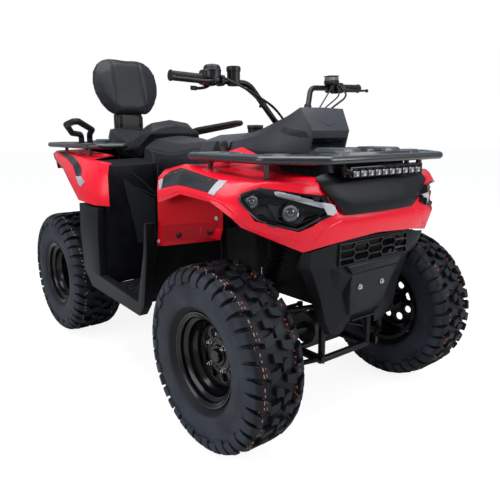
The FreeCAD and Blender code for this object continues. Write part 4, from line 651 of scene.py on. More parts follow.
def tyreShape(half, beadHalf):
    bm = bmesh.new()
    wall = [(0.955, 0.190), (0.998, 0.212), (1.0, 0.238)] + shoulderLine + [(0.0, 0.302)]
    curve = smoothLine([(beadHalf, 0.1655), (beadHalf + 0.008, 0.172)] + [(half * y, r) for y, r in wall], 5)
    shaped = []
    for y, r in curve:
        lift = sum(height * math.exp(-((r - at) / wheelLook["ribWide"]) ** 2)
                   for at, height in wheelLook["ribs"])
        shaped.append((y + lift, r))
    profile = shaped + [(-y, r) for y, r in reversed(shaped[:-1])]
    spunShape(bm, profile, wheelLook["steps"])
    group = lugGroup(half)
    for i in range(wheelLook["groups"]):
        turnedGroup = group.copy()
        turnedGroup.transform(Matrix.Rotation(-math.pi / 2 - 2 * math.pi * i / wheelLook["groups"], 4, "Y"))
        bm.from_mesh(turnedGroup)
        bpy.data.meshes.remove(turnedGroup)
    bpy.data.meshes.remove(group)
    return bm


def wheelTurn(centre, side):
    # outer face outboard on both sides
    return Matrix.Translation(centre) @ Matrix.Rotation(0 if side > 0 else math.pi, 4, "Z")


def addTreadMap(bm):
    # around the tread in metres, and across it
    layer = bm.loops.layers.uv.new("treadMap")
    for face in bm.faces:
        middle = face.calc_center_median()
        base = math.atan2(middle.z, middle.x)
        for loop in face.loops:
            angle = math.atan2(loop.vert.co.z, loop.vert.co.x)
            angle += 2 * math.pi * round((base - angle) / (2 * math.pi))
            loop[layer].uv = (angle / (2 * math.pi), loop.vert.co.y * 10)


def rimShape(half):
    # across is measured back from the rim's outer edge, then forward from its inner one
    bm = bmesh.new()
    flange, seat, well = wheelLook["flange"], wheelLook["beadSeat"], wheelLook["well"]
    outer = [(0.0005, flange - 0.0045), (0, flange - 0.001), (0.003, flange), (0.006, flange - 0.002),
             (0.0065, seat + 0.003), (0.010, seat), (0.024, seat - 0.001), (0.030, seat - 0.006),
             (0.033, seat - 0.014), (0.050, seat - 0.016), (0.058, well + 0.004), (0.063, well)]
    back = [(0.04, well), (0.025, seat - 0.001), (0.006, seat), (0.006, flange - 0.002), (0.003, flange),
            (0, flange - 0.002), (0.001, seat - 0.004), (0.022, seat - 0.006), (0.038, well - 0.005)]
    lining = [(0.063, well - 0.005), (0.055, well), (0.047, seat - 0.021), (0.031, seat - 0.019),
              (0.026, seat - 0.010), (0.021, seat - 0.0055), (0.008, seat - 0.0045), (0.004, seat + 0.004),
              (0.003, flange - 0.008)]
    loop = [(half - y, r) for y, r in outer] + [(y - half, r) for y, r in back]
    loop += [(half - y, r) for y, r in lining]
    spunShape(bm, loop, 96, closed=True)
    return bm


def discShape():
    # dished disc with round windows and a hub
    look = wheelLook
    at = look["disc"]
    bm = bmesh.new()
    for radius, count in ((0.022, 24), (0.104, 72)):
        bmesh.ops.create_circle(bm, cap_ends=False, radius=radius, segments=count)
    for i in range(look["windows"]):
        turn = 2 * math.pi * (i + 0.5) / look["windows"]
        spot = Matrix.Translation((look["windowRing"] * math.cos(turn), look["windowRing"] * math.sin(turn), 0))
        bmesh.ops.create_circle(bm, cap_ends=False, radius=look["windowSizes"][i % 2], segments=20, matrix=spot)
    bmesh.ops.triangle_fill(bm, edges=list(bm.edges), use_beauty=True)
    bmesh.ops.rotate(bm, verts=bm.verts, cent=(0, 0, 0), matrix=Matrix.Rotation(-math.pi / 2, 3, "X"))
    bmesh.ops.translate(bm, verts=bm.verts, vec=(0, at, 0))
    extruded(bm, list(bm.faces), (0, -0.006, 0))
    easeEdges(bm, sharpEdges(bm, 50), 0.0016)
    dish = [(-0.001, 0.102), (0, 0.1045), (-0.006, 0.112), (-0.008, 0.1215), (-0.012, 0.1215), (-0.010, 0.110),
            (-0.006, 0.102)]
    hub = [(-0.004, 0.037), (0.003, 0.037), (0.006, 0.034), (0.006, 0.026), (0.016, 0.024), (0.019, 0.021),
           (0.019, 0.0005)]
    boss = [(0, 0.0485), (0.0022, 0.0500), (0.0022, 0.0620), (0, 0.0635)]
    for profile, steps, closed in ((dish, 72, True), (hub, 48, False), (boss, 72, False)):
        spunShape(bm, [(at + y, r) for y, r in profile], steps, closed)
    return bm


def nutShapes():
    # a washer, a hexagon and the stud's end at each hole
    ring, size, bm = wheelLook["nutRing"], wheelLook["nutSize"], bmesh.new()
    for i in range(4):
        turn = math.pi / 4 + i * math.pi / 2
        spot = (ring * math.cos(turn), wheelLook["disc"], ring * math.sin(turn))
        lay = Matrix.Translation(spot) @ Matrix.Rotation(-math.pi / 2, 4, "X")
        for segments, low, high, depth, up in ((28, 1.25, 1.1, 0.004, 0.004), (6, 1.0, 0.96, 0.012, 0.010),
                                               (16, 0.5, 0.42, 0.006, 0.018)):
            made = bmesh.ops.create_cone(bm, cap_ends=True, segments=segments, radius1=size * low,
                                         radius2=size * high, depth=depth,
                                         matrix=lay @ Matrix.Translation((0, 0, up)))
            if segments == 6:
                easeEdges(bm, {e for v in made["verts"] for e in v.link_edges}, 0.0010)
    return bm


wheelSites = [
    ("front_right", (0.750, -0.480, 0.320), -1, 0.104, 0.0750, 0.081, "tyreFront"),
    ("front_left", (0.750, 0.480, 0.320), 1, 0.104, 0.0750, 0.081, "tyreFront"),
    ("rear_right", (-0.690, -0.417, 0.320), -1, 0.125, 0.1055, 0.1115, "tyreRear"),
    ("rear_left", (-0.690, 0.417, 0.320), 1, 0.125, 0.1055, 0.1115, "tyreRear"),
]
for spot, centre, side, half, beadHalf, rimHalf, rubber in wheelSites:
    turn = wheelTurn(centre, side)
    tyreMesh = tyreShape(half, beadHalf)
    addTreadMap(tyreMesh)
    parts = [("tyrePiece_", tyreMesh, rubber, ("tyre_" + spot,), 34),
             ("rimPiece_", rimShape(rimHalf), "rimSteel", ("rim_" + spot,), 30),
             ("discPiece_", discShape(), "rimSteel", (), 30), ("nuts_", nutShapes(), "steelBright", (), 30)]
    for label, shape, finishName, stands, sharp in parts:
        bmesh.ops.transform(shape, matrix=turn, verts=shape.verts)
        asPiece(label + spot, shape, finishName, bodyOf["tyre_" + spot], stands, sharp)
print("stage: wheels ready")
# front fenders: dark panel with silver ends, arch lip, creases, and liner darkened as painted shade

fenderTrim = {
    "facing": (0.05, -0.62, 0.78), "thick": 0.0012,
    "panel": [(0.467, -0.528, 0.866), (0.445, -0.505, 0.902), (0.457, -0.481, 0.924), (0.510, -0.475, 0.937),
              (0.758, -0.485, 0.913), (0.777, -0.541, 0.879), (0.712, -0.538, 0.883), (0.634, -0.534, 0.887),
              (0.576, -0.533, 0.886), (0.517, -0.530, 0.877)],
    "frontTip": [(0.759, -0.485, 0.913), (0.790, -0.475, 0.911), (0.804, -0.507, 0.894),
                 (0.798, -0.534, 0.871), (0.778, -0.542, 0.876)],
    "backTip": [(0.420, -0.511, 0.889), (0.444, -0.506, 0.900), (0.465, -0.528, 0.864), (0.447, -0.527, 0.860)],
    "lip": [(0.447, -0.54, 0.853), (0.520, -0.54, 0.872), (0.588, -0.54, 0.882), (0.648, -0.54, 0.881),
            (0.717, -0.54, 0.875), (0.786, -0.54, 0.867), (0.799, -0.54, 0.862), (0.721, -0.54, 0.866),
            (0.640, -0.54, 0.873), (0.600, -0.54, 0.870), (0.539, -0.54, 0.854), (0.462, -0.54, 0.838)],
    "crease": [(0.794, -0.542, 0.862), (0.832, -0.528, 0.849), (0.864, -0.515, 0.824), (0.881, -0.498, 0.800),
               (0.892, -0.476, 0.778), (0.916, -0.441, 0.763), (0.942, -0.406, 0.752), (0.961, -0.366, 0.739),
               (0.978, -0.339, 0.730)],
    "noseCrease": [(0.992, -0.294, 0.720), (1.000, -0.283, 0.742), (1.009, -0.262, 0.763),
                   (1.015, -0.232, 0.776), (1.016, -0.197, 0.784)],
    "linerFacing": (0.345, -0.939, 0.0),
    "linerLowerShade": [(0.411, -0.500, 0.724), (0.533, -0.455, 0.740), (0.646, -0.412, 0.754),
                   (0.629, -0.413, 0.724), (0.595, -0.425, 0.690), (0.501, -0.458, 0.675),
                   (0.408, -0.497, 0.664)],
    "holes": [(0.477, -0.470, 0.694), (0.609, -0.421, 0.718)],
    "holeProfile": [(0.0125, -0.001), (0.0125, 0.0010), (0.0105, 0.0016), (0.0095, 0.0002), (0, 0.0002)],
    "bolts": [(0.384, -0.501, 0.660), (0.640, -0.415, 0.770)], "boltSize": 0.0055,
    "rib": [(0.578, -0.438, 0.732), (0.566, -0.435, 0.708), (0.557, -0.432, 0.686)],
}


def fenderPieces():
    look = fenderTrim
    bm = bmesh.new()
    panelOn(bm, look["panel"], look["facing"], ("front_body",), thick=look["thick"])
    asPiece("fenderPanels", bothSides(bm), "decalBlack", "chassis")
    bm = bmesh.new()
    for part in ("frontTip", "backTip"):
        panelOn(bm, look[part], look["facing"], ("front_body",), thick=look["thick"] * 1.3)
    asPiece("fenderTips", bothSides(bm), "silverTrim", "chassis")
    bm = bmesh.new()
    panelOn(bm, look["lip"], (0, -1, 0.1), ("front_body",), lift=0.0002, thick=0.0018, reach=0.03, ease=0.0008)
    for line in ("crease", "noseCrease"):
        beadOn(bm, look[line], (0.7, -0.7, 0.1), ("front_body",), 0.0045, 0.0036, 0.05)
    beadOn(bm, look["rib"], look["linerFacing"], ("front_body",), 0.0032, 0.0012, 0.03)
    asPiece("fenderRidges", bothSides(bm), "redPaint", "chassis")
    bm = bmesh.new()
    # the liner's lower band: a darker red patch, painted shade towards the bottom
    panelOn(bm, look["linerLowerShade"], look["linerFacing"], ("front_body",), lift=0.0007, thick=0.0012, reach=0.03)
    asPiece("linerLowerShade", bothSides(bm), "redLowerShade", "chassis")
    # each hole is a shallow near-black cup: painted shade for the hole's depth
    bm = bmesh.new()
    facing = Vector(look["linerFacing"])
    for spot in look["holes"]:
        spot = dropOn(Vector(spot), facing, ("front_body",), 0.03) + facing * 0.0022
        turned(bm, look["holeProfile"], spot, facing, 28)
    asPiece("linerHoleShades", bothSides(bm), "wellShadeBlack", "chassis")
    bm = bmesh.new()
    for spot in look["bolts"]:
        hexBolt(bm, dropOn(Vector(spot), facing, ("front_body",), 0.03) + facing * 0.0005, facing,
                look["boltSize"])
    asPiece("linerBolts", bothSides(bm), "steelBright", "chassis")


fenderPieces()


# headlamps: frame, facet, silver strip and two projectors a side

lampLook = {
    "facing": (0.85, -0.53, 0.0), "small": ((0.891, -0.461, 0.856), 0.0205),
    "large": ((0.954, -0.359, 0.819), 0.0260),
    "facet": [(0.897, -0.409, 0.849), (0.910, -0.387, 0.839), (0.925, -0.364, 0.841), (0.916, -0.380, 0.817),
              (0.916, -0.380, 0.790), (0.909, -0.392, 0.812)],
    "strip": [(0.909, -0.390, 0.880), (0.917, -0.379, 0.880), (0.953, -0.319, 0.862), (0.985, -0.268, 0.847),
              (1.020, -0.233, 0.838), (1.024, -0.231, 0.816), (1.018, -0.240, 0.806), (1.010, -0.257, 0.809),
              (0.998, -0.262, 0.829), (0.954, -0.323, 0.849), (0.912, -0.387, 0.870)],
    "frame": [(0.950, -0.379, 0.886), (0.916, -0.433, 0.894), (0.891, -0.455, 0.890), (0.872, -0.486, 0.876),
              (0.876, -0.492, 0.858), (0.889, -0.474, 0.828), (0.905, -0.448, 0.800), (0.926, -0.417, 0.785),
              (0.959, -0.366, 0.771), (0.976, -0.338, 0.768), (0.995, -0.306, 0.788), (1.007, -0.272, 0.808)],
}


def lampPieces():
    look = lampLook
    facing = Vector(look["facing"]).normalized()
    both = ("headlamps", "front_body", "nose_panel")
    bm = bmesh.new()
    panelOn(bm, look["strip"], (0.78, -0.60, 0.18), both, lift=0.0012, thick=0.0040, step=0.010, ease=0.0010,
            span=0.007)
    asPiece("lampStrips", bothSides(bm), "stripSilver", "chassis")
    bm = bmesh.new()
    panelOn(bm, look["facet"], facing, ("headlamps",), thick=0.0045, step=0.012, ease=0.0012)
    beadOn(bm, look["frame"], facing, both, 0.0032, 0.0005)
    asPiece("lampFrames", bothSides(bm), "lampGrey", "chassis")
    rings, bowls, domes = bmesh.new(), bmesh.new(), bmesh.new()
    for place, r in (look["small"], look["large"]):
        spot = dropOn(Vector(place), facing, ("headlamps",))
        turned(rings, [(r * 1.22, -0.004), (r * 1.22, 0.0035), (r * 1.16, 0.0060), (r * 1.04, 0.0062),
                       (r, 0.0040), (r * 0.97, -0.002)], spot, facing, 48)
        turned(bowls, [(r * 1.0, 0.0036), (r * 0.90, 0.0012), (r * 0.76, 0.0004), (r * 0.62, 0.0002),
                       (r * 0.60, 0.0012), (r * 0.56, 0.0012)], spot, facing, 14)
        turned(domes, [(r * 0.57, -0.001), (r * 0.56, 0.0015), (r * 0.48, 0.0042), (r * 0.34, 0.0062),
                       (r * 0.16, 0.0071), (0, 0.0073)], spot, facing, 40)
    asPiece("lampRings", bothSides(rings), "glossBlack", "chassis")
    asPiece("lampBowls", bothSides(bowls), "lampGlass", "chassis", sharp=12)
    asPiece("lampDomes", bothSides(domes), "lensGlass", "chassis", sharp=60)


lampPieces()


# honeycomb grille: stretched hexagons, cut at the frame

grilleLook = {"pitch": 0.0726, "row": 0.0290, "point": 0.0125, "wall": 0.0034, "depth": 0.011, "front": 1.0044,
              "half": 0.1800, "low": 0.6300, "high": 0.7020, "rim": 0.0034}


def grillePiece():
    look = grilleLook
    bm = bmesh.new()
    middle = (look["low"] + look["high"]) / 2
    flat, row = (look["pitch"] - look["point"]) / 2, look["row"] / 2
    for i in range(-3, 4):
        for j in range(-2, 3):
            y, z = i * look["pitch"], middle + j * look["row"] + (row if i % 2 else 0)
            tip = flat + look["point"]
            corners = [(-tip, 0), (-flat, -row), (flat, -row), (tip, 0), (flat, row), (-flat, row)]
            bm.faces.new([bm.verts.new((look["front"], y + a, z + b)) for a, b in corners])
    bmesh.ops.remove_doubles(bm, verts=bm.verts[:], dist=0.0002)
    for spot, way in (((0, look["half"], 0), (0, 1, 0)), ((0, -look["half"], 0), (0, -1, 0)),
                      ((0, 0, look["high"]), (0, 0, 1)), ((0, 0, look["low"]), (0, 0, -1))):
        bmesh.ops.bisect_plane(bm, geom=bm.verts[:] + bm.edges[:] + bm.faces[:], dist=0.00001, plane_co=spot,
                               plane_no=way, clear_outer=True)
    cells = [f for f in bm.faces if f.calc_area() > 0.00003]
    bmesh.ops.inset_individual(bm, faces=cells, thickness=look["wall"] / 2, depth=0, use_even_offset=True)
    bmesh.ops.delete(bm, geom=cells, context="FACES_ONLY")
    extruded(bm, bm.faces[:], (-look["depth"], 0, 0))
    high, wide, depth = look["high"] - look["low"], 2 * look["half"], look["depth"]
    for y in (-look["half"], look["half"]):
        block(bm, (depth, look["rim"], high), (look["front"] - depth / 2, y, middle), 0.001)
    for z in (look["low"], look["high"]):
        block(bm, (depth, wide, look["rim"]), (look["front"] - depth / 2, 0, z), 0.001)
    asPiece("grilleMesh", bm, "grillePlastic", "chassis", ("grille",), 25)


grillePiece()


# front cover: raised middle with a bar under the grille, pockets as dark patches of painted shade, bolts and a
# lip

coverLook = {
    "section": [(0.950, 0.634), (0.985, 0.634), (1.004, 0.629), (1.011, 0.622), (1.012, 0.600), (1.008, 0.594),
                (0.999, 0.588), (0.996, 0.560), (0.985, 0.490), (0.977, 0.442), (0.972, 0.432), (0.950, 0.428)],
    "widths": [0.160, 0.155, 0.146, 0.142, 0.128, 0.120, 0.112, 0.112, 0.100, 0.090, 0.088, 0.092],
    "pocket": [(0.991, -0.210, 0.625), (0.996, -0.166, 0.618), (0.992, -0.160, 0.590), (0.968, -0.152, 0.537),
               (0.972, -0.174, 0.556)],
    "bolts": [(-0.060, 0.536), (0.060, 0.536)], "boltSize": 0.0078, "boltWay": (0.99, 0, -0.15),
    "boss": [(0.0165, -0.003), (0.0165, 0.0010), (0.0150, 0.0022), (0.0120, 0.0022), (0.0115, 0.0004),
             (0, 0.0004)],
    "lip": ((0.012, 0.128, 0.006), (0.962, 0, 0.4055)),
}


def coverPieces():
    look = coverLook
    bm = bmesh.new()
    left, right = [], []
    for (x, z), y in zip(look["section"], look["widths"]):
        left.append(bm.verts.new((x, y, z)))
        right.append(bm.verts.new((x, -y, z)))
    bm.faces.new(left)
    bm.faces.new(right[::-1])
    rims = [[bm.edges.get((side[i - 1], side[i])) for i in range(len(side))] for side in (left, right)]
    bmesh.ops.bridge_loops(bm, edges=rims[0] + rims[1])
    bmesh.ops.recalc_face_normals(bm, faces=bm.faces[:])
    easeEdges(bm, sharpEdges(bm, 30), 0.0024, 2)
    block(bm, *look["lip"], 0.0015)
    for y, z in look["bolts"]:
        turned(bm, look["boss"], (0.9915, y, z), look["boltWay"], 36)
    asPiece("coverMiddle", bm, "coverPlastic", "chassis", (), 28)
    bm = bmesh.new()
    # the pockets are thin near-black patches: painted shade standing for recesses
    panelOn(bm, look["pocket"], (1, -0.12, -0.15), ("front_cover",), lift=0.0004, thick=0.0006, reach=0.05)
    asPiece("coverPocketShade", bothSides(bm), "wellShadeBlack", "chassis")
    bm = bmesh.new()
    for y, z in look["bolts"]:
        hexBolt(bm, (0.9925, y, z), look["boltWay"], look["boltSize"])
    asPiece("coverBolts", bm, "steelBright", "chassis")


coverPieces()


# light bar: ten cells, each a dish behind a clear cap

lightLook = {
    "cells": 10, "pitch": 0.0362, "high": 0.0180, "front": 1.0445, "middle": 0.9330,
    "dish": [(0.0086, 0.0004), (0.0084, 0.0020), (0.0072, 0.0010), (0.0050, 0.0004), (0.0046, 0.0020),
             (0.0032, 0.0032), (0.0016, 0.0038), (0, 0.0040)],
}


def lightPieces():
    look = lightLook
    bm, lenses = bmesh.new(), bmesh.new()
    for i in range(look["cells"]):
        y = (i - (look["cells"] - 1) / 2) * look["pitch"]
        block(bm, (0.0030, look["pitch"] * 0.86, look["high"]), (look["front"] - 0.0008, y, look["middle"]),
              0.0012)
        turned(lenses, look["dish"], (look["front"] + 0.0004, y, look["middle"]), (1, 0, 0), 24)
    asPiece("lightCells", bm, "ledWhite", "chassis")
    asPiece("lightDishes", lenses, "ledBright", "chassis", sharp=60)
    bm = bmesh.new()
    for i in range(look["cells"] + 1):
        y = (i - look["cells"] / 2) * look["pitch"]
        block(bm, (0.0060, 0.0030, look["high"] + 0.010), (look["front"] - 0.0005, y, look["middle"]), 0.0008)
    asPiece("lightFins", bm, "blackSteel", "chassis")


lightPieces()
print("stage: front ready")


# rear fenders: dark inset with a silver tip

rearTrim = {
    "inset": [(-0.860, -0.418, 0.955), (-0.717, -0.447, 0.945), (-0.544, -0.481, 0.927),
              (-0.414, -0.507, 0.904), (-0.316, -0.533, 0.864), (-0.268, -0.529, 0.867),
              (-0.299, -0.510, 0.891), (-0.406, -0.484, 0.923), (-0.541, -0.455, 0.943),
              (-0.738, -0.422, 0.957)],
    "tip": [(-0.310, -0.536, 0.861), (-0.265, -0.529, 0.867), (-0.200, -0.539, 0.844),
            (-0.243, -0.542, 0.821), (-0.265, -0.542, 0.826)],
}


def rearPieces():
    bm = bmesh.new()
    panelOn(bm, rearTrim["inset"], (0, -0.60, 0.80), ("rear_body",))
    asPiece("rearPanels", bothSides(bm), "decalBlack", "chassis")
    bm = bmesh.new()
    panelOn(bm, rearTrim["tip"], (0, -0.94, 0.34), ("rear_body",), lift=0.0012, thick=0.0014)
    asPiece("rearTips", bothSides(bm), "silverTrim", "chassis")


rearPieces()
print("stage: rear ready")


# racks: raised ribs and pads on the plates, all in the paler rack finish with its painted sky reflection

rackLook = {
    "front": [((0.835, 0.985), (-0.040, 0.040), 0.9965, 0.011), ((0.840, 0.980), (0.062, 0.150), 0.9965, 0.013),
              ((0.615, 0.795), (0.331, 0.344), 0.985, 0.005), ((0.600, 0.840), (0.380, 0.394), 0.985, 0.005),
              ((0.845, 0.898), (0.300, 0.385), 0.985, 0.010), ((0.578, 0.602), (0.296, 0.384), 0.985, 0.007),
              ((0.905, 1.000), (0.176, 0.192), 0.985, 0.008)],
    "rear": [((-0.635, -0.545), (0.305, 0.340), 1.002, 0.005), ((-0.815, -0.545), (0.376, 0.392), 1.002, 0.005),
             ((-0.925, -0.830), (0.220, 0.340), 1.002, 0.008), ((-0.530, -0.505), (0.285, 0.384), 1.002, 0.007),
             ((-1.020, -0.860), (0.030, 0.130), 1.0135, 0.008)],
}


def rackPieces():
    for end, rows in rackLook.items():
        bm = bmesh.new()
        for (x0, x1), (y0, y1), z, high in rows:
            ease = min(high * 0.8, (y1 - y0) * 0.3)
            block(bm, (x1 - x0, y1 - y0, 2 * high), ((x0 + x1) / 2, (y0 + y1) / 2, z), ease, 2)
        asPiece(end + "RackRibs", bothSides(bm), "rackSkySheen", "chassis", (), 32)


rackPieces()
print("stage: racks ready")
# bar end parts: each is placed along the bar from its outer end

barLook = {"end": (0.487, 0.485, 1.251), "way": (0.0716, -0.9966, -0.0405), "grip": 0.120, "radius": 0.0165,
           "ribs": 15, "lever": 0.0062}


def barLay(side, along, ahead=0.0, up=0.0):
    # x runs inwards along the bar, y ahead and z up
    way = Vector(barLook["way"]).normalized()
    forward = (Vector((1, 0, 0)) - way * way.x).normalized()
    rise = way.cross(forward)
    rise = rise if rise.z > 0 else -rise
    spot = Vector(barLook["end"]) + way * along + forward * ahead + rise * up
    lay = Matrix.Identity(4)
    for row in range(3):
        lay[row][0], lay[row][1], lay[row][2], lay[row][3] = way[row], forward[row], rise[row], spot[row]
    return Matrix.Diagonal((1, side, 1, 1)) @ lay


def barSpot(side, along, ahead=0.0, up=0.0):
    return barLay(side, along, ahead, up).translation


def gripPieces():
    look = barLook
    r, length = look["radius"], look["grip"]
    profile = [(0, -0.0065), (r * 0.85, -0.0065), (r * 1.12, -0.0050), (r * 1.16, -0.0020), (r * 1.12, 0.0010),
               (r * 0.98, 0.0030)]
    pitch = (length - 0.016) / look["ribs"]
    for i in range(look["ribs"]):
        at = 0.005 + i * pitch
        profile += [(r * 0.95, at), (r * 1.02, at + pitch * 0.18), (r * 1.02, at + pitch * 0.70),
                    (r * 0.95, at + pitch * 0.85)]
    profile += [(r * 1.0, length - 0.008), (r * 1.22, length - 0.005), (r * 1.26, length - 0.002),
                (r * 1.22, length), (r * 0.7, length)]
    grips, rings = bmesh.new(), bmesh.new()
    for side in (1, -1):
        start = barSpot(side, 0.0)
        way = barSpot(side, 1.0) - start
        turned(grips, profile, start, way, 36)
        turned(rings, [(r * 0.6, 0.1205), (r * 1.20, 0.1205), (r * 1.26, 0.1215), (r * 1.26, 0.1245),
                       (r * 1.20, 0.1255), (r * 0.6, 0.1255)], start, way, 36)
    asPiece("gripSleeves", grips, "softRubber", "steering", ("grips",), 30)
    asPiece("gripRings", rings, "redPaint", "steering")


def ringOfBlocks(bm, centre, count, radius, up, size, ease):
    # grips round a cap
    for i in range(count):
        turn = 2 * math.pi * i / count
        spot = centre + Vector((radius * math.cos(turn), radius * math.sin(turn), up))
        block(bm, size, Matrix.Translation(spot) @ Matrix.Rotation(turn, 4, "Z"), ease, 1)


controlLook = {
    # blocks: size, place along, ahead of and above the bar, then the eased edge and its cuts
    "both": [((0.042, 0.048, 0.044), (0.149, 0, 0), 0.0075, 3),
             ((0.044, 0.0495, 0.0022), (0.149, 0, 0), 0.0008),
             ((0.030, 0.026, 0.020), (0.160, 0.024, -0.002), 0.0045, 3),
             ((0.020, 0.042, 0.038), (0.198, 0, 0), 0.0070, 3),
             ((0.0075, 0.005, 0.0065), (0.139, -0.0245, 0.010), 0.0014),
             ((0.0075, 0.005, 0.0065), (0.150, -0.0245, 0.010), 0.0014),
             ((0.0075, 0.005, 0.0065), (0.160, -0.0245, -0.009), 0.0014)],
    "left": [((0.046, 0.050, 0.020), (0.205, 0.016, 0.022), 0.0050, 3),
             ((0.046, 0.048, 0.0035), (0.205, 0.016, 0.0475), 0.0012)],
    "leftFace": ((0.044, 0.046, 0.026), (0.205, 0.016, 0.0330), 0.0050, 3),
    "right": [((0.030, 0.050, 0.036), (0.132, 0.004, 0.014), 0.0085, 3),
              ((0.026, 0.008, 0.016), (0.104, -0.029, -0.031), 0.0034, 3)],
    # profiles: radius and height
    "pivot": [(0, -0.0135), (0.0070, -0.0135), (0.0080, -0.0125), (0.0080, 0.0125), (0.0070, 0.0135),
              (0, 0.0135)],
    "screw": [(0, 0.0), (0.0036, 0.0), (0.0040, 0.0008), (0.0040, 0.0026), (0.0030, 0.0034), (0, 0.0034)],
    "lidScrew": [(0, 0.0), (0.0030, 0.0), (0.0034, 0.0007), (0.0030, 0.0016), (0, 0.0016)],
    "drumScrew": [(0, 0.0), (0.0028, 0.0), (0.0030, 0.0008), (0.0024, 0.0015), (0, 0.0015)],
    "drum": [(0, 0.0), (0.0300, 0.0), (0.0322, 0.0020), (0.0322, 0.0250), (0.0332, 0.0260), (0.0332, 0.0300),
             (0.0318, 0.0320), (0.0298, 0.0410), (0.0245, 0.0470), (0.0150, 0.0495), (0, 0.0498)],
    "tank": [(0, 0.0), (0.0200, 0.0), (0.0235, 0.0040), (0.0240, 0.0500), (0.0250, 0.0510), (0.0258, 0.0520),
             (0.0258, 0.0650), (0.0248, 0.0680), (0.0190, 0.0695), (0.0180, 0.0685), (0, 0.0685)],
    "lever": [(0.158, 0.020, -0.002), (0.150, 0.034, -0.006), (0.132, 0.046, -0.010), (0.100, 0.050, -0.013),
              (0.060, 0.050, -0.013), (0.020, 0.047, -0.012), (-0.008, 0.044, -0.012)],
    "leverBall": [(0, -0.0075), (0.0045, -0.0066), (0.0072, -0.0035), (0.0078, 0), (0.0072, 0.0035),
                  (0.0045, 0.0066), (0, 0.0075)],
    "thumb": [(0.158, -0.004, -0.012), (0.150, -0.014, -0.024), (0.128, -0.024, -0.030),
              (0.108, -0.028, -0.031)],
}


def controlPieces():
    look = controlLook
    up = (0, 0, 1)
    bm, silver = bmesh.new(), bmesh.new()
    # both sides: switch or throttle housing with a parting line, lever bracket and lever
    for side in (1, -1):
        for size, place, *ease in look["both"]:
            block(bm, size, barLay(side, *place), *ease)
        turned(bm, look["pivot"], barSpot(side, 0.152, 0.031, -0.002), up, 20)
        for along in (0.190, 0.206):
            turned(silver, look["screw"], barSpot(side, along, -0.0212, 0.004), (-1, 0, 0.1), 16)
        beadAlong(bm, [barSpot(side, *p) for p in look["lever"]], barLook["lever"], 14, 5, 0.72)
        turned(bm, look["leverBall"], barSpot(side, -0.010, 0.0437, -0.012), (0, 1, 0), 20)
    # left: square reservoir with a lid; its face is grey
    for size, place, *ease in look["left"]:
        block(bm, size, barLay(1, *place), *ease)
    size, place, *ease = look["leftFace"]
    block(silver, size, barLay(1, *place), *ease)
    for along in (0.190, 0.220):
        turned(silver, look["lidScrew"], barSpot(1, along, 0.016, 0.0492), up, 14)
    # right: round throttle housing with a domed lid, thumb throttle, and a master cylinder with a cap
    for size, place, *ease in look["right"]:
        block(bm, size, barLay(-1, *place), *ease)
    drum = barSpot(-1, 0.1586, 0.0068, 0.0)
    drum.z = 1.247
    turned(bm, look["drum"], drum, up, 48)
    for i in range(3):
        turn = 0.5 + 2 * math.pi * i / 3
        spot = drum + Vector((0.0190 * math.cos(turn), 0.0190 * math.sin(turn), 0.0470))
        turned(silver, look["drumScrew"], spot, up, 12)
    tank = barSpot(-1, 0.250, 0.0068, 0.0)
    tank.z = 1.226
    turned(bm, look["tank"], tank, up, 44)
    ringOfBlocks(bm, tank, 22, 0.0255, 0.0585, (0.0018, 0.0022, 0.0100), 0.0005)
    beadAlong(bm, [barSpot(-1, *p) for p in look["thumb"]], 0.0050, 12, 5, 1.1)
    asPiece("barControls", bm, "controlPlastic", "steering", ("controls",), 30)
    asPiece("barScrews", silver, "steelDull", "steering", (), 30)


# thin hoses and wires from the bar down to the pod
wireLook = {
    "radius": 0.0030,
    "routes": [[(0.545, 0.285, 1.248), (0.600, 0.235, 1.205), (0.616, 0.130, 1.145), (0.616, 0.062, 1.075),
                (0.606, 0.032, 0.998)],
               [(0.540, 0.262, 1.246), (0.570, 0.190, 1.195), (0.592, 0.110, 1.125), (0.603, 0.050, 1.060),
                (0.604, 0.024, 0.998)],
               [(0.540, -0.290, 1.248), (0.600, -0.235, 1.205), (0.616, -0.130, 1.145), (0.616, -0.062, 1.075),
                (0.606, -0.032, 0.998)],
               [(0.535, -0.245, 1.240), (0.566, -0.185, 1.190), (0.588, -0.110, 1.115), (0.598, -0.055, 1.055),
                (0.600, -0.026, 0.998)]],
}


def wirePieces():
    bm = bmesh.new()
    for line in wireLook["routes"]:
        beadAlong(bm, line, wireLook["radius"], 10, 8)
    for y in (-0.118, 0.118):
        turned(bm, [(0.0135, 0.0), (0.0150, 0.0005), (0.0150, 0.0085), (0.0135, 0.009)], (0.5405, y, 1.158),
               (-0.24, 0.57 if y > 0 else -0.57, 0.90), 24)
    asPiece("barWires", bm, "softRubber", "steering", (), 40)


gripPieces()
controlPieces()
wirePieces()


# gear lever with a faceted grip

gearLook = {"outline": [(0.408, 0.986), (0.414, 1.000), (0.440, 1.028), (0.452, 1.032), (0.466, 1.008),
                        (0.472, 0.980), (0.452, 0.974)], "outer": -0.268, "wide": 0.042}


def gearPiece():
    bm = bmesh.new()
    face = bm.faces.new([bm.verts.new((x, gearLook["outer"], z)) for x, z in gearLook["outline"]])
    extruded(bm, [face], (0, gearLook["wide"], 0))
    easeEdges(bm, sharpEdges(bm, 20), 0.0055, 2)
    beadAlong(bm, [(0.452, -0.244, 0.962), (0.450, -0.245, 0.980)], 0.0120, 16, 3)
    asPiece("gearHandle", bm, "controlPlastic", "chassis", ("gear_lever",), 30)


gearPiece()


# foot wells: folded panel and two creases on the wall under the seat, painted lighter as the light they catch

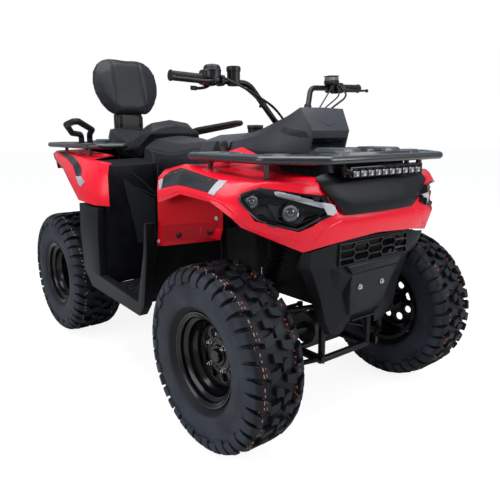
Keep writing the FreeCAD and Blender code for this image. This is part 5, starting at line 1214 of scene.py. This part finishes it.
wellLook = {
    "facet": [(-0.076, -0.417, 0.866), (-0.076, -0.404, 0.812), (-0.076, -0.379, 0.694),
              (-0.076, -0.355, 0.560), (-0.076, -0.262, 0.560), (-0.076, -0.258, 0.758),
              (-0.076, -0.332, 0.800)],
    "creases": [[(-0.076, -0.372, 0.888), (-0.076, -0.315, 0.839), (-0.076, -0.253, 0.782)],
                [(-0.076, -0.405, 0.838), (-0.076, -0.332, 0.806), (-0.076, -0.253, 0.768)]],
}


def wellPieces():
    bm = bmesh.new()
    panelOn(bm, wellLook["facet"], (1, 0, 0), ("footwells",), lift=0.0004, thick=0.0030, step=0.03, reach=0.03,
            ease=0.0020)
    asPiece("wellFacets", bothSides(bm), "wellLitGrey", "chassis")
    bm = bmesh.new()
    for line in wellLook["creases"]:
        beadOn(bm, line, (1, 0, 0), ("footwells",), 0.0042, 0.0020, 0.03)
    asPiece("wellCreases", bothSides(bm), "wellLitGrey", "chassis")


wellPieces()


# pod: side recess as a darker patch of painted shade, and a shallow vee on the brow, also painted shade; dark
# lower front face

podLook = {
    "recess": [(0.661, -0.135, 1.063), (0.671, -0.130, 1.079), (0.757, -0.106, 1.064), (0.772, -0.097, 1.042),
               (0.736, -0.112, 1.043), (0.677, -0.133, 1.053)],
    "face": [(0.779, -0.088, 1.040), (0.782, 0.0, 1.040), (0.779, 0.088, 1.040), (0.768, 0.086, 1.002),
             (0.768, 0.0, 1.000), (0.768, -0.086, 1.002)],
    "vee": [(0.772, -0.030, 1.092), (0.780, 0.0, 1.079), (0.772, 0.030, 1.092)],
}


def podPieces():
    bm = bmesh.new()
    panelOn(bm, podLook["recess"], (0.3, -0.95, 0.05), ("pod",), lift=0.0003, thick=0.0010, ease=0.0005)
    asPiece("podRecessShade", bothSides(bm), "podShade", "chassis")
    bm = bmesh.new()
    panelOn(bm, podLook["face"], (1, 0, 0), ("pod",), lift=0.0004, thick=0.0014, ease=0.0008)
    asPiece("podFace", bm, "glossBlack", "chassis")
    bm = bmesh.new()
    beadOn(bm, podLook["vee"][:2], (0.85, 0, 0.5), ("pod",), 0.0014, 0.0004)
    asPiece("podVee", bothSides(bm), "podShade", "chassis")


podPieces()


# fuel cap with a gripped rim

capLook = {
    "place": (0.349, 0, 1.055), "bar": (0.040, 0.007, 0.004), "barUp": 0.0335,
    "profile": [(0, 0.0), (0.0300, 0.0), (0.0300, 0.0180), (0.0330, 0.0195), (0.0338, 0.0215), (0.0338, 0.0290),
                (0.0325, 0.0315), (0.0240, 0.0335), (0.0225, 0.0325), (0.0080, 0.0325), (0, 0.0325)],
}


def capPieces():
    look = capLook
    bm = bmesh.new()
    place = Vector(look["place"])
    turned(bm, look["profile"], place, (0, 0, 1), 60)
    ringOfBlocks(bm, place, 26, 0.0302, 0.0115, (0.0020, 0.0034, 0.0125), 0.0006)
    block(bm, look["bar"], place + Vector((0, 0, look["barUp"])), 0.0014)
    asPiece("fuelCap", bm, "controlPlastic", "chassis", (), 32)


capPieces()


# footboards: rows of studs

studLook = {"pitch": 0.026, "line": 0.86, "radius": 0.0055, "high": 0.0024,
            "box": ((-0.060, 0.262), (0.262, 0.530)), "top": 0.3930}


def studPieces():
    look = studLook
    (x0, x1), (y0, y1) = look["box"]
    bm = bmesh.new()
    rows = int((x1 - x0) / look["pitch"])
    apart = look["pitch"] * look["line"]
    lines = int((y1 - y0) / apart)
    down = Vector((0, 0, -1))
    for i in range(rows):
        for j in range(lines):
            spot = Vector((x0 + (i + (0.5 if j % 2 else 0.0)) * look["pitch"], y0 + j * apart, look["top"]))
            hit = surfaceOf(("footboards",)).ray_cast(spot - down * 0.05, down, 0.06)[0]
            if hit is None or hit.z < look["top"] - 0.004:
                continue
            lay = Matrix.Translation((spot.x, spot.y, hit.z + look["high"] / 2))
            bmesh.ops.create_cone(bm, cap_ends=True, segments=8, radius1=look["radius"],
                                  radius2=look["radius"] * 0.62, depth=look["high"], matrix=lay)
    asPiece("footStuds", bothSides(bm), "blackPlastic", "chassis", (), 30)


studPieces()
print("stage: cockpit ready")


# cushions: each starts from its CAD solid, is puffed by a short cloth run, then gets its seams

seatLook = {
    "rider_seat": {"voxel": 0.0062, "shrink": 0.0030, "cap": 0.008, "fill": 0.8,
                   "seams": [[(-0.225, -0.190, 0.985), (-0.195, -0.203, 0.950), (-0.165, -0.209, 0.905)],
                             [(-0.225, -0.190, 0.985), (-0.120, -0.196, 0.985), (0.000, -0.194, 0.992),
                              (0.120, -0.180, 1.004), (0.195, -0.168, 1.012)]]},
    "passenger_seat": {"voxel": 0.0062, "shrink": 0.0030, "cap": 0.009, "fill": 0.8,
                       "seams": [[(-0.700, -0.172, 1.085), (-0.600, -0.190, 1.064), (-0.500, -0.196, 1.058),
                                  (-0.400, -0.180, 1.072), (-0.345, -0.150, 1.086)]]},
    "backrest_pad": {"voxel": 0.0055, "shrink": 0.0030, "cap": 0.009, "fill": 0.85,
                     "seams": [[(-0.828, -0.086, 1.455), (-0.807, -0.083, 1.378), (-0.791, -0.084, 1.296),
                                (-0.779, -0.093, 1.224), (-0.783, -0.098, 1.175)]]},
}


evenPasses = 45  # a taut cover has no short creases
seamReach, seamDips = 0.02, ((0.0042, 0.0042), (0.0012, 0.011))  # each dip is a depth and a width
stitchLook = {"aside": 0.0062, "pitch": 0.0072, "size": (0.0046, 0.0010, 0.0010, 1)}


def evened(mesh, moves):
    # each point's move becomes the mean of its neighbours' moves, pass by pass
    ends = np.array([edge.vertices[:] for edge in mesh.edges])
    count = np.bincount(ends.ravel(), minlength=len(moves))[:, None]
    for step in range(evenPasses):
        total = np.zeros_like(moves)
        np.add.at(total, ends[:, 0], moves[ends[:, 1]])
        np.add.at(total, ends[:, 1], moves[ends[:, 0]])
        moves = total / count
    return moves


def puffed(name, voxel, shrink, cap):
    bm = nodeMesh(name, 0.4)
    mesh = bpy.data.meshes.new(name + "Cushion")
    bm.to_mesh(mesh)
    bm.free()
    pad = bpy.data.objects.new(name + "Cushion", mesh)
    scene = bpy.context.scene
    scene.collection.objects.link(pad)
    remesh = pad.modifiers.new("voxels", "REMESH")
    remesh.mode = "VOXEL"
    remesh.voxel_size = voxel
    smooth = pad.modifiers.new("smooth", "SMOOTH")
    smooth.factor = 0.5
    smooth.iterations = 6
    graph = bpy.context.evaluated_depsgraph_get()
    mesh = bpy.data.meshes.new_from_object(pad.evaluated_get(graph), preserve_all_data_layers=False,
                                           depsgraph=graph)
    pad.modifiers.clear()
    pad.data = mesh
    for vert in mesh.vertices:
        vert.co -= vert.normal * shrink
    start = [vert.co.copy() for vert in mesh.vertices]
    cloth = pad.modifiers.new("air", "CLOTH")
    cloth.settings.quality = 4
    cloth.settings.mass = 0.4
    cloth.settings.use_pressure = True
    cloth.settings.uniform_pressure_force = 4
    cloth.settings.tension_stiffness = 20
    cloth.settings.compression_stiffness = 20
    cloth.settings.bending_stiffness = 6
    cloth.settings.effector_weights.gravity = 0
    cloth.point_cache.frame_start = 1
    cloth.point_cache.frame_end = 20
    for step in range(1, 21):
        scene.frame_set(step)
    graph = bpy.context.evaluated_depsgraph_get()
    swelled = bpy.data.meshes.new_from_object(pad.evaluated_get(graph), preserve_all_data_layers=False,
                                              depsgraph=graph)
    pad.modifiers.clear()
    moves = evened(mesh, np.array([last.co - first for first, last in zip(start, swelled.vertices)]))
    for vert, first, move in zip(mesh.vertices, start, moves):
        move = Vector(move)
        if move.length > cap:
            move *= cap / move.length
        vert.co = first + move
    scene.frame_set(1)
    bm = bmesh.new()
    bm.from_mesh(pad.data)
    bpy.data.objects.remove(pad)
    bmesh.ops.smooth_vert(bm, verts=bm.verts[:], factor=0.5, use_axis_x=True, use_axis_y=True, use_axis_z=True)
    bmesh.ops.subdivide_edges(bm, edges=bm.edges[:], cuts=1, use_grid_fill=True, smooth=0.5)
    return bm


def seamTree(lines):
    points = []
    for line in lines:
        for a, b in zip(line, line[1:]):
            count = max(1, int((b - a).length / 0.0015))
            points += [a.lerp(b, k / count) for k in range(count + 1)]
    tree = KDTree(len(points))
    for i, point in enumerate(points):
        tree.insert(point, i)
    tree.balance()
    return tree


def cushion(name):
    look = seatLook[name]
    bm = puffed(name, look["voxel"], look["shrink"], look["cap"])
    bm.normal_update()
    skin = BVHTree.FromBMesh(bm)
    lines = []
    for seam in look["seams"]:
        line = [Vector(p) for p in smoothLine(seam, 10)]
        for side in (1, -1):
            lines.append([skin.find_nearest(Vector((p.x, p.y * side, p.z)))[0] for p in line])
    tree = seamTree(lines)
    for vert in bm.verts:
        far = tree.find(vert.co)[2]
        if far < seamReach:
            vert.co -= vert.normal * sum(deep * math.exp(-(far / wide) ** 2) for deep, wide in seamDips)
    bm.normal_update()
    skin = BVHTree.FromBMesh(bm)
    threads = bmesh.new()
    for line in lines:
        for offset in (-stitchLook["aside"], stitchLook["aside"]):
            run = 0.0
            for a, b in zip(line, line[1:]):
                way = b - a
                if way.length < 0.0001:
                    continue
                run += way.length
                way.normalize()
                while run > stitchLook["pitch"]:
                    run -= stitchLook["pitch"]
                    near, normal = skin.find_nearest(b - way * run)[:2]
                    near, normal = skin.find_nearest(near + normal.cross(way).normalized() * offset)[:2]
                    lay = Matrix.Translation(near + normal * 0.0002)
                    lay = lay @ way.to_track_quat("X", "Z").to_matrix().to_4x4()
                    bmesh.ops.create_cube(threads, size=1, matrix=lay @ Matrix.Diagonal(stitchLook["size"]))
    pad = asPiece(name + "Pad", bm, "seatVinyl", "chassis", (name,), 80)
    asPiece(name + "Stitching", threads, "stitch", "chassis", (), 60)


for name in seatLook:
    cushion(name)
    print("stage: cushion", name)


# dark inner panels that close the body under the seats and below the front rack, in the near-black of painted
# shade

innerLook = {
    "hood": {"x": (0.700, 0.965), "half": 0.200, "z": (0.885, 0.966), "ribs": 5, "first": 0.035,
             "pitch": 0.048},
    "sill": {"x": (0.455, 0.700), "half": 0.206, "z": (0.925, 0.991)},
    "tray": {"x": (-0.930, -0.275), "half": 0.400, "z": 0.882, "thick": 0.004, "ribs": 9, "first": 0.06,
             "pitch": 0.066, "lip": ((0.005, 0.420, 0.086), (-0.926, 0.0, 0.924))},
    "seam": ((0.225, 0.004, 0.052), (-0.148, 0.508, 0.748)),
}


def innerPieces():
    look = innerLook["hood"]
    bm = bmesh.new()
    (x0, x1), (z0, z1), half = look["x"], look["z"], look["half"]
    block(bm, (x1 - x0, 2 * half, z1 - z0), ((x0 + x1) / 2, 0, (z0 + z1) / 2), 0.016, 3)
    for i in range(look["ribs"]):
        spot = (x0 + look["first"] + i * look["pitch"], 0, (z0 + z1) / 2)
        block(bm, (0.010, 2 * half + 0.006, z1 - z0 - 0.030), spot, 0.003, 2)
    look = innerLook["sill"]
    (x0, x1), (z0, z1), half = look["x"], look["z"], look["half"] - 0.035
    for side in (1, -1):
        block(bm, (x1 - x0, 0.050, z1 - z0), ((x0 + x1) / 2, side * half, (z0 + z1) / 2), 0.010, 3)
    asPiece("hoodCentre", bm, "wellShadeBlack", "chassis", (), 30)
    look = innerLook["tray"]
    (x0, x1), half = look["x"], look["half"]
    bm = bmesh.new()
    block(bm, (x1 - x0, 2 * half, look["thick"]), ((x0 + x1) / 2, 0, look["z"]), 0.0015, 2)
    for i in range(look["ribs"]):
        spot = (x0 + look["first"] + i * look["pitch"], 0, look["z"] + 0.003)
        block(bm, (0.012, 2 * half - 0.02, 0.005), spot, 0.0015, 2)
    block(bm, *look["lip"], 0.0015, 2)
    size, (x, y, z) = innerLook["seam"]
    for side in (1, -1):
        block(bm, size, (x, side * y, z), 0.0012, 2)
    asPiece("seatTray", bm, "wellShadeBlack", "chassis", (), 30)


innerPieces()


# moulded neck that carries the backrest on its bracket
neckLook = {"place": (-0.828, 0.0, 1.112), "size": (0.050, 0.168, 0.116), "ease": 0.014}


def neckPiece():
    bm = bmesh.new()
    block(bm, neckLook["size"], neckLook["place"], neckLook["ease"], 3)
    x, _, z = neckLook["place"]
    for side in (1, -1):
        for up in (-0.030, 0.002):
            hexBolt(bm, (x + 0.0245, side * 0.052, z + up), (1, 0, 0), 0.0060)
        ridge = [(x + ahead, side * out, z + up)
                 for ahead, out, up in ((0.022, 0.024, -0.052), (0.0265, 0.026, 0), (0.022, 0.028, 0.052))]
        beadAlong(bm, ridge, 0.0040, 10, 6)
    asPiece("backrestNeck", bm, "controlPlastic", "chassis", (), 32)


neckPiece()
print("stage: inner panels ready")


nodeFinish = {
    "frame": "blackSteel", "frame_cross_members": "blackSteel", "skid_plate": "blackSteel",
    "engine": "castMetal", "final_drives": "castMetal", "suspension_arms": "blackSteel",
    "hub_carriers": "castMetal", "shock_absorbers": "steelPart", "half_shafts": "steelPart",
    "exhaust": "steelPart", "radiator": "blackSteel", "front_cover": "blackPlastic", "grille": "glossBlack",
    "front_body": "redPaint", "nose_panel": "blackPlastic", "headlamps": "glossBlack",
    "front_rack": "rackPlastic", "rear_rack": "rackPlastic", "light_bar": "glossBlack",
    "pod": "greyPlastic", "tank_cover": "greyPlastic", "footwells": "wellShadeBlack", "splash_panels": "wellShadeBlack",
    "footboards": "blackPlastic", "side_panels": "blackPlastic", "rider_seat": "seatVinyl",
    "passenger_seat": "seatVinyl", "backrest_pad": "seatVinyl", "backrest_bracket": "blackSteel",
    "grab_handles": "softRubber", "rear_body": "redPaint", "tail_lamps": "redLens",
    "gear_lever": "blackPlastic", "steering_column": "blackSteel", "handlebar": "blackSteel",
    "grips": "softRubber", "controls": "blackPlastic", "cables": "softRubber", "tie_rod_left": "steelPart",
    "tie_rod_right": "steelPart", "knuckle_left": "castMetal", "knuckle_right": "castMetal",
}
for wheel in ("front_right", "front_left", "rear_right", "rear_left"):
    nodeFinish["tyre_" + wheel] = "softRubber"
    nodeFinish["rim_" + wheel] = "rimSteel"
for name, finishName in nodeFinish.items():
    tinted(name, finishName)

softNodes = (
    "front_body", "rear_body", "front_cover", "nose_panel", "headlamps", "pod", "tank_cover", "side_panels",
    "footwells", "footboards", "front_rack", "rear_rack", "light_bar", "handlebar", "cables",
    "grab_handles",
)
for name in softNodes:
    softened(name, nodeFinish[name])

# some faces of a piece get painted light and shade as a second finish: the liner behind each front wheel arch
# is a deeper red for painted shade, and the racks' upper faces are paler for a painted sky reflection
linerBox = {"x": (0.36, 0.665), "half": 0.515, "z": (0.63, 0.868)}


def paintedLightFinish(name, finishName, chosen):
    piece = bpy.data.objects[name]
    piece.data.materials.append(finishes[finishName])
    for face in piece.data.polygons:
        if chosen(face.center, face.normal):
            face.material_index = 1


def onLiner(spot, way):
    (x0, x1), half, (z0, z1) = linerBox["x"], linerBox["half"], linerBox["z"]
    inBox = x0 < spot.x < x1 and abs(spot.y) < half and z0 < spot.z < z1
    return inBox and way.y * spot.y > 0 and abs(way.z) < 0.35


def onRackTop(spot, way):
    # the plates' upper faces get the paler rack finish: a painted sky reflection
    return way.z > 0.8 and spot.z > 0.983


paintedLightFinish("front_bodyPiece", "redLinerShade", onLiner)
for name in ("front_rack", "rear_rack"):
    paintedLightFinish(name + "Piece", "rackSkySheen", onRackTop)
print("stage: bodywork dressed")
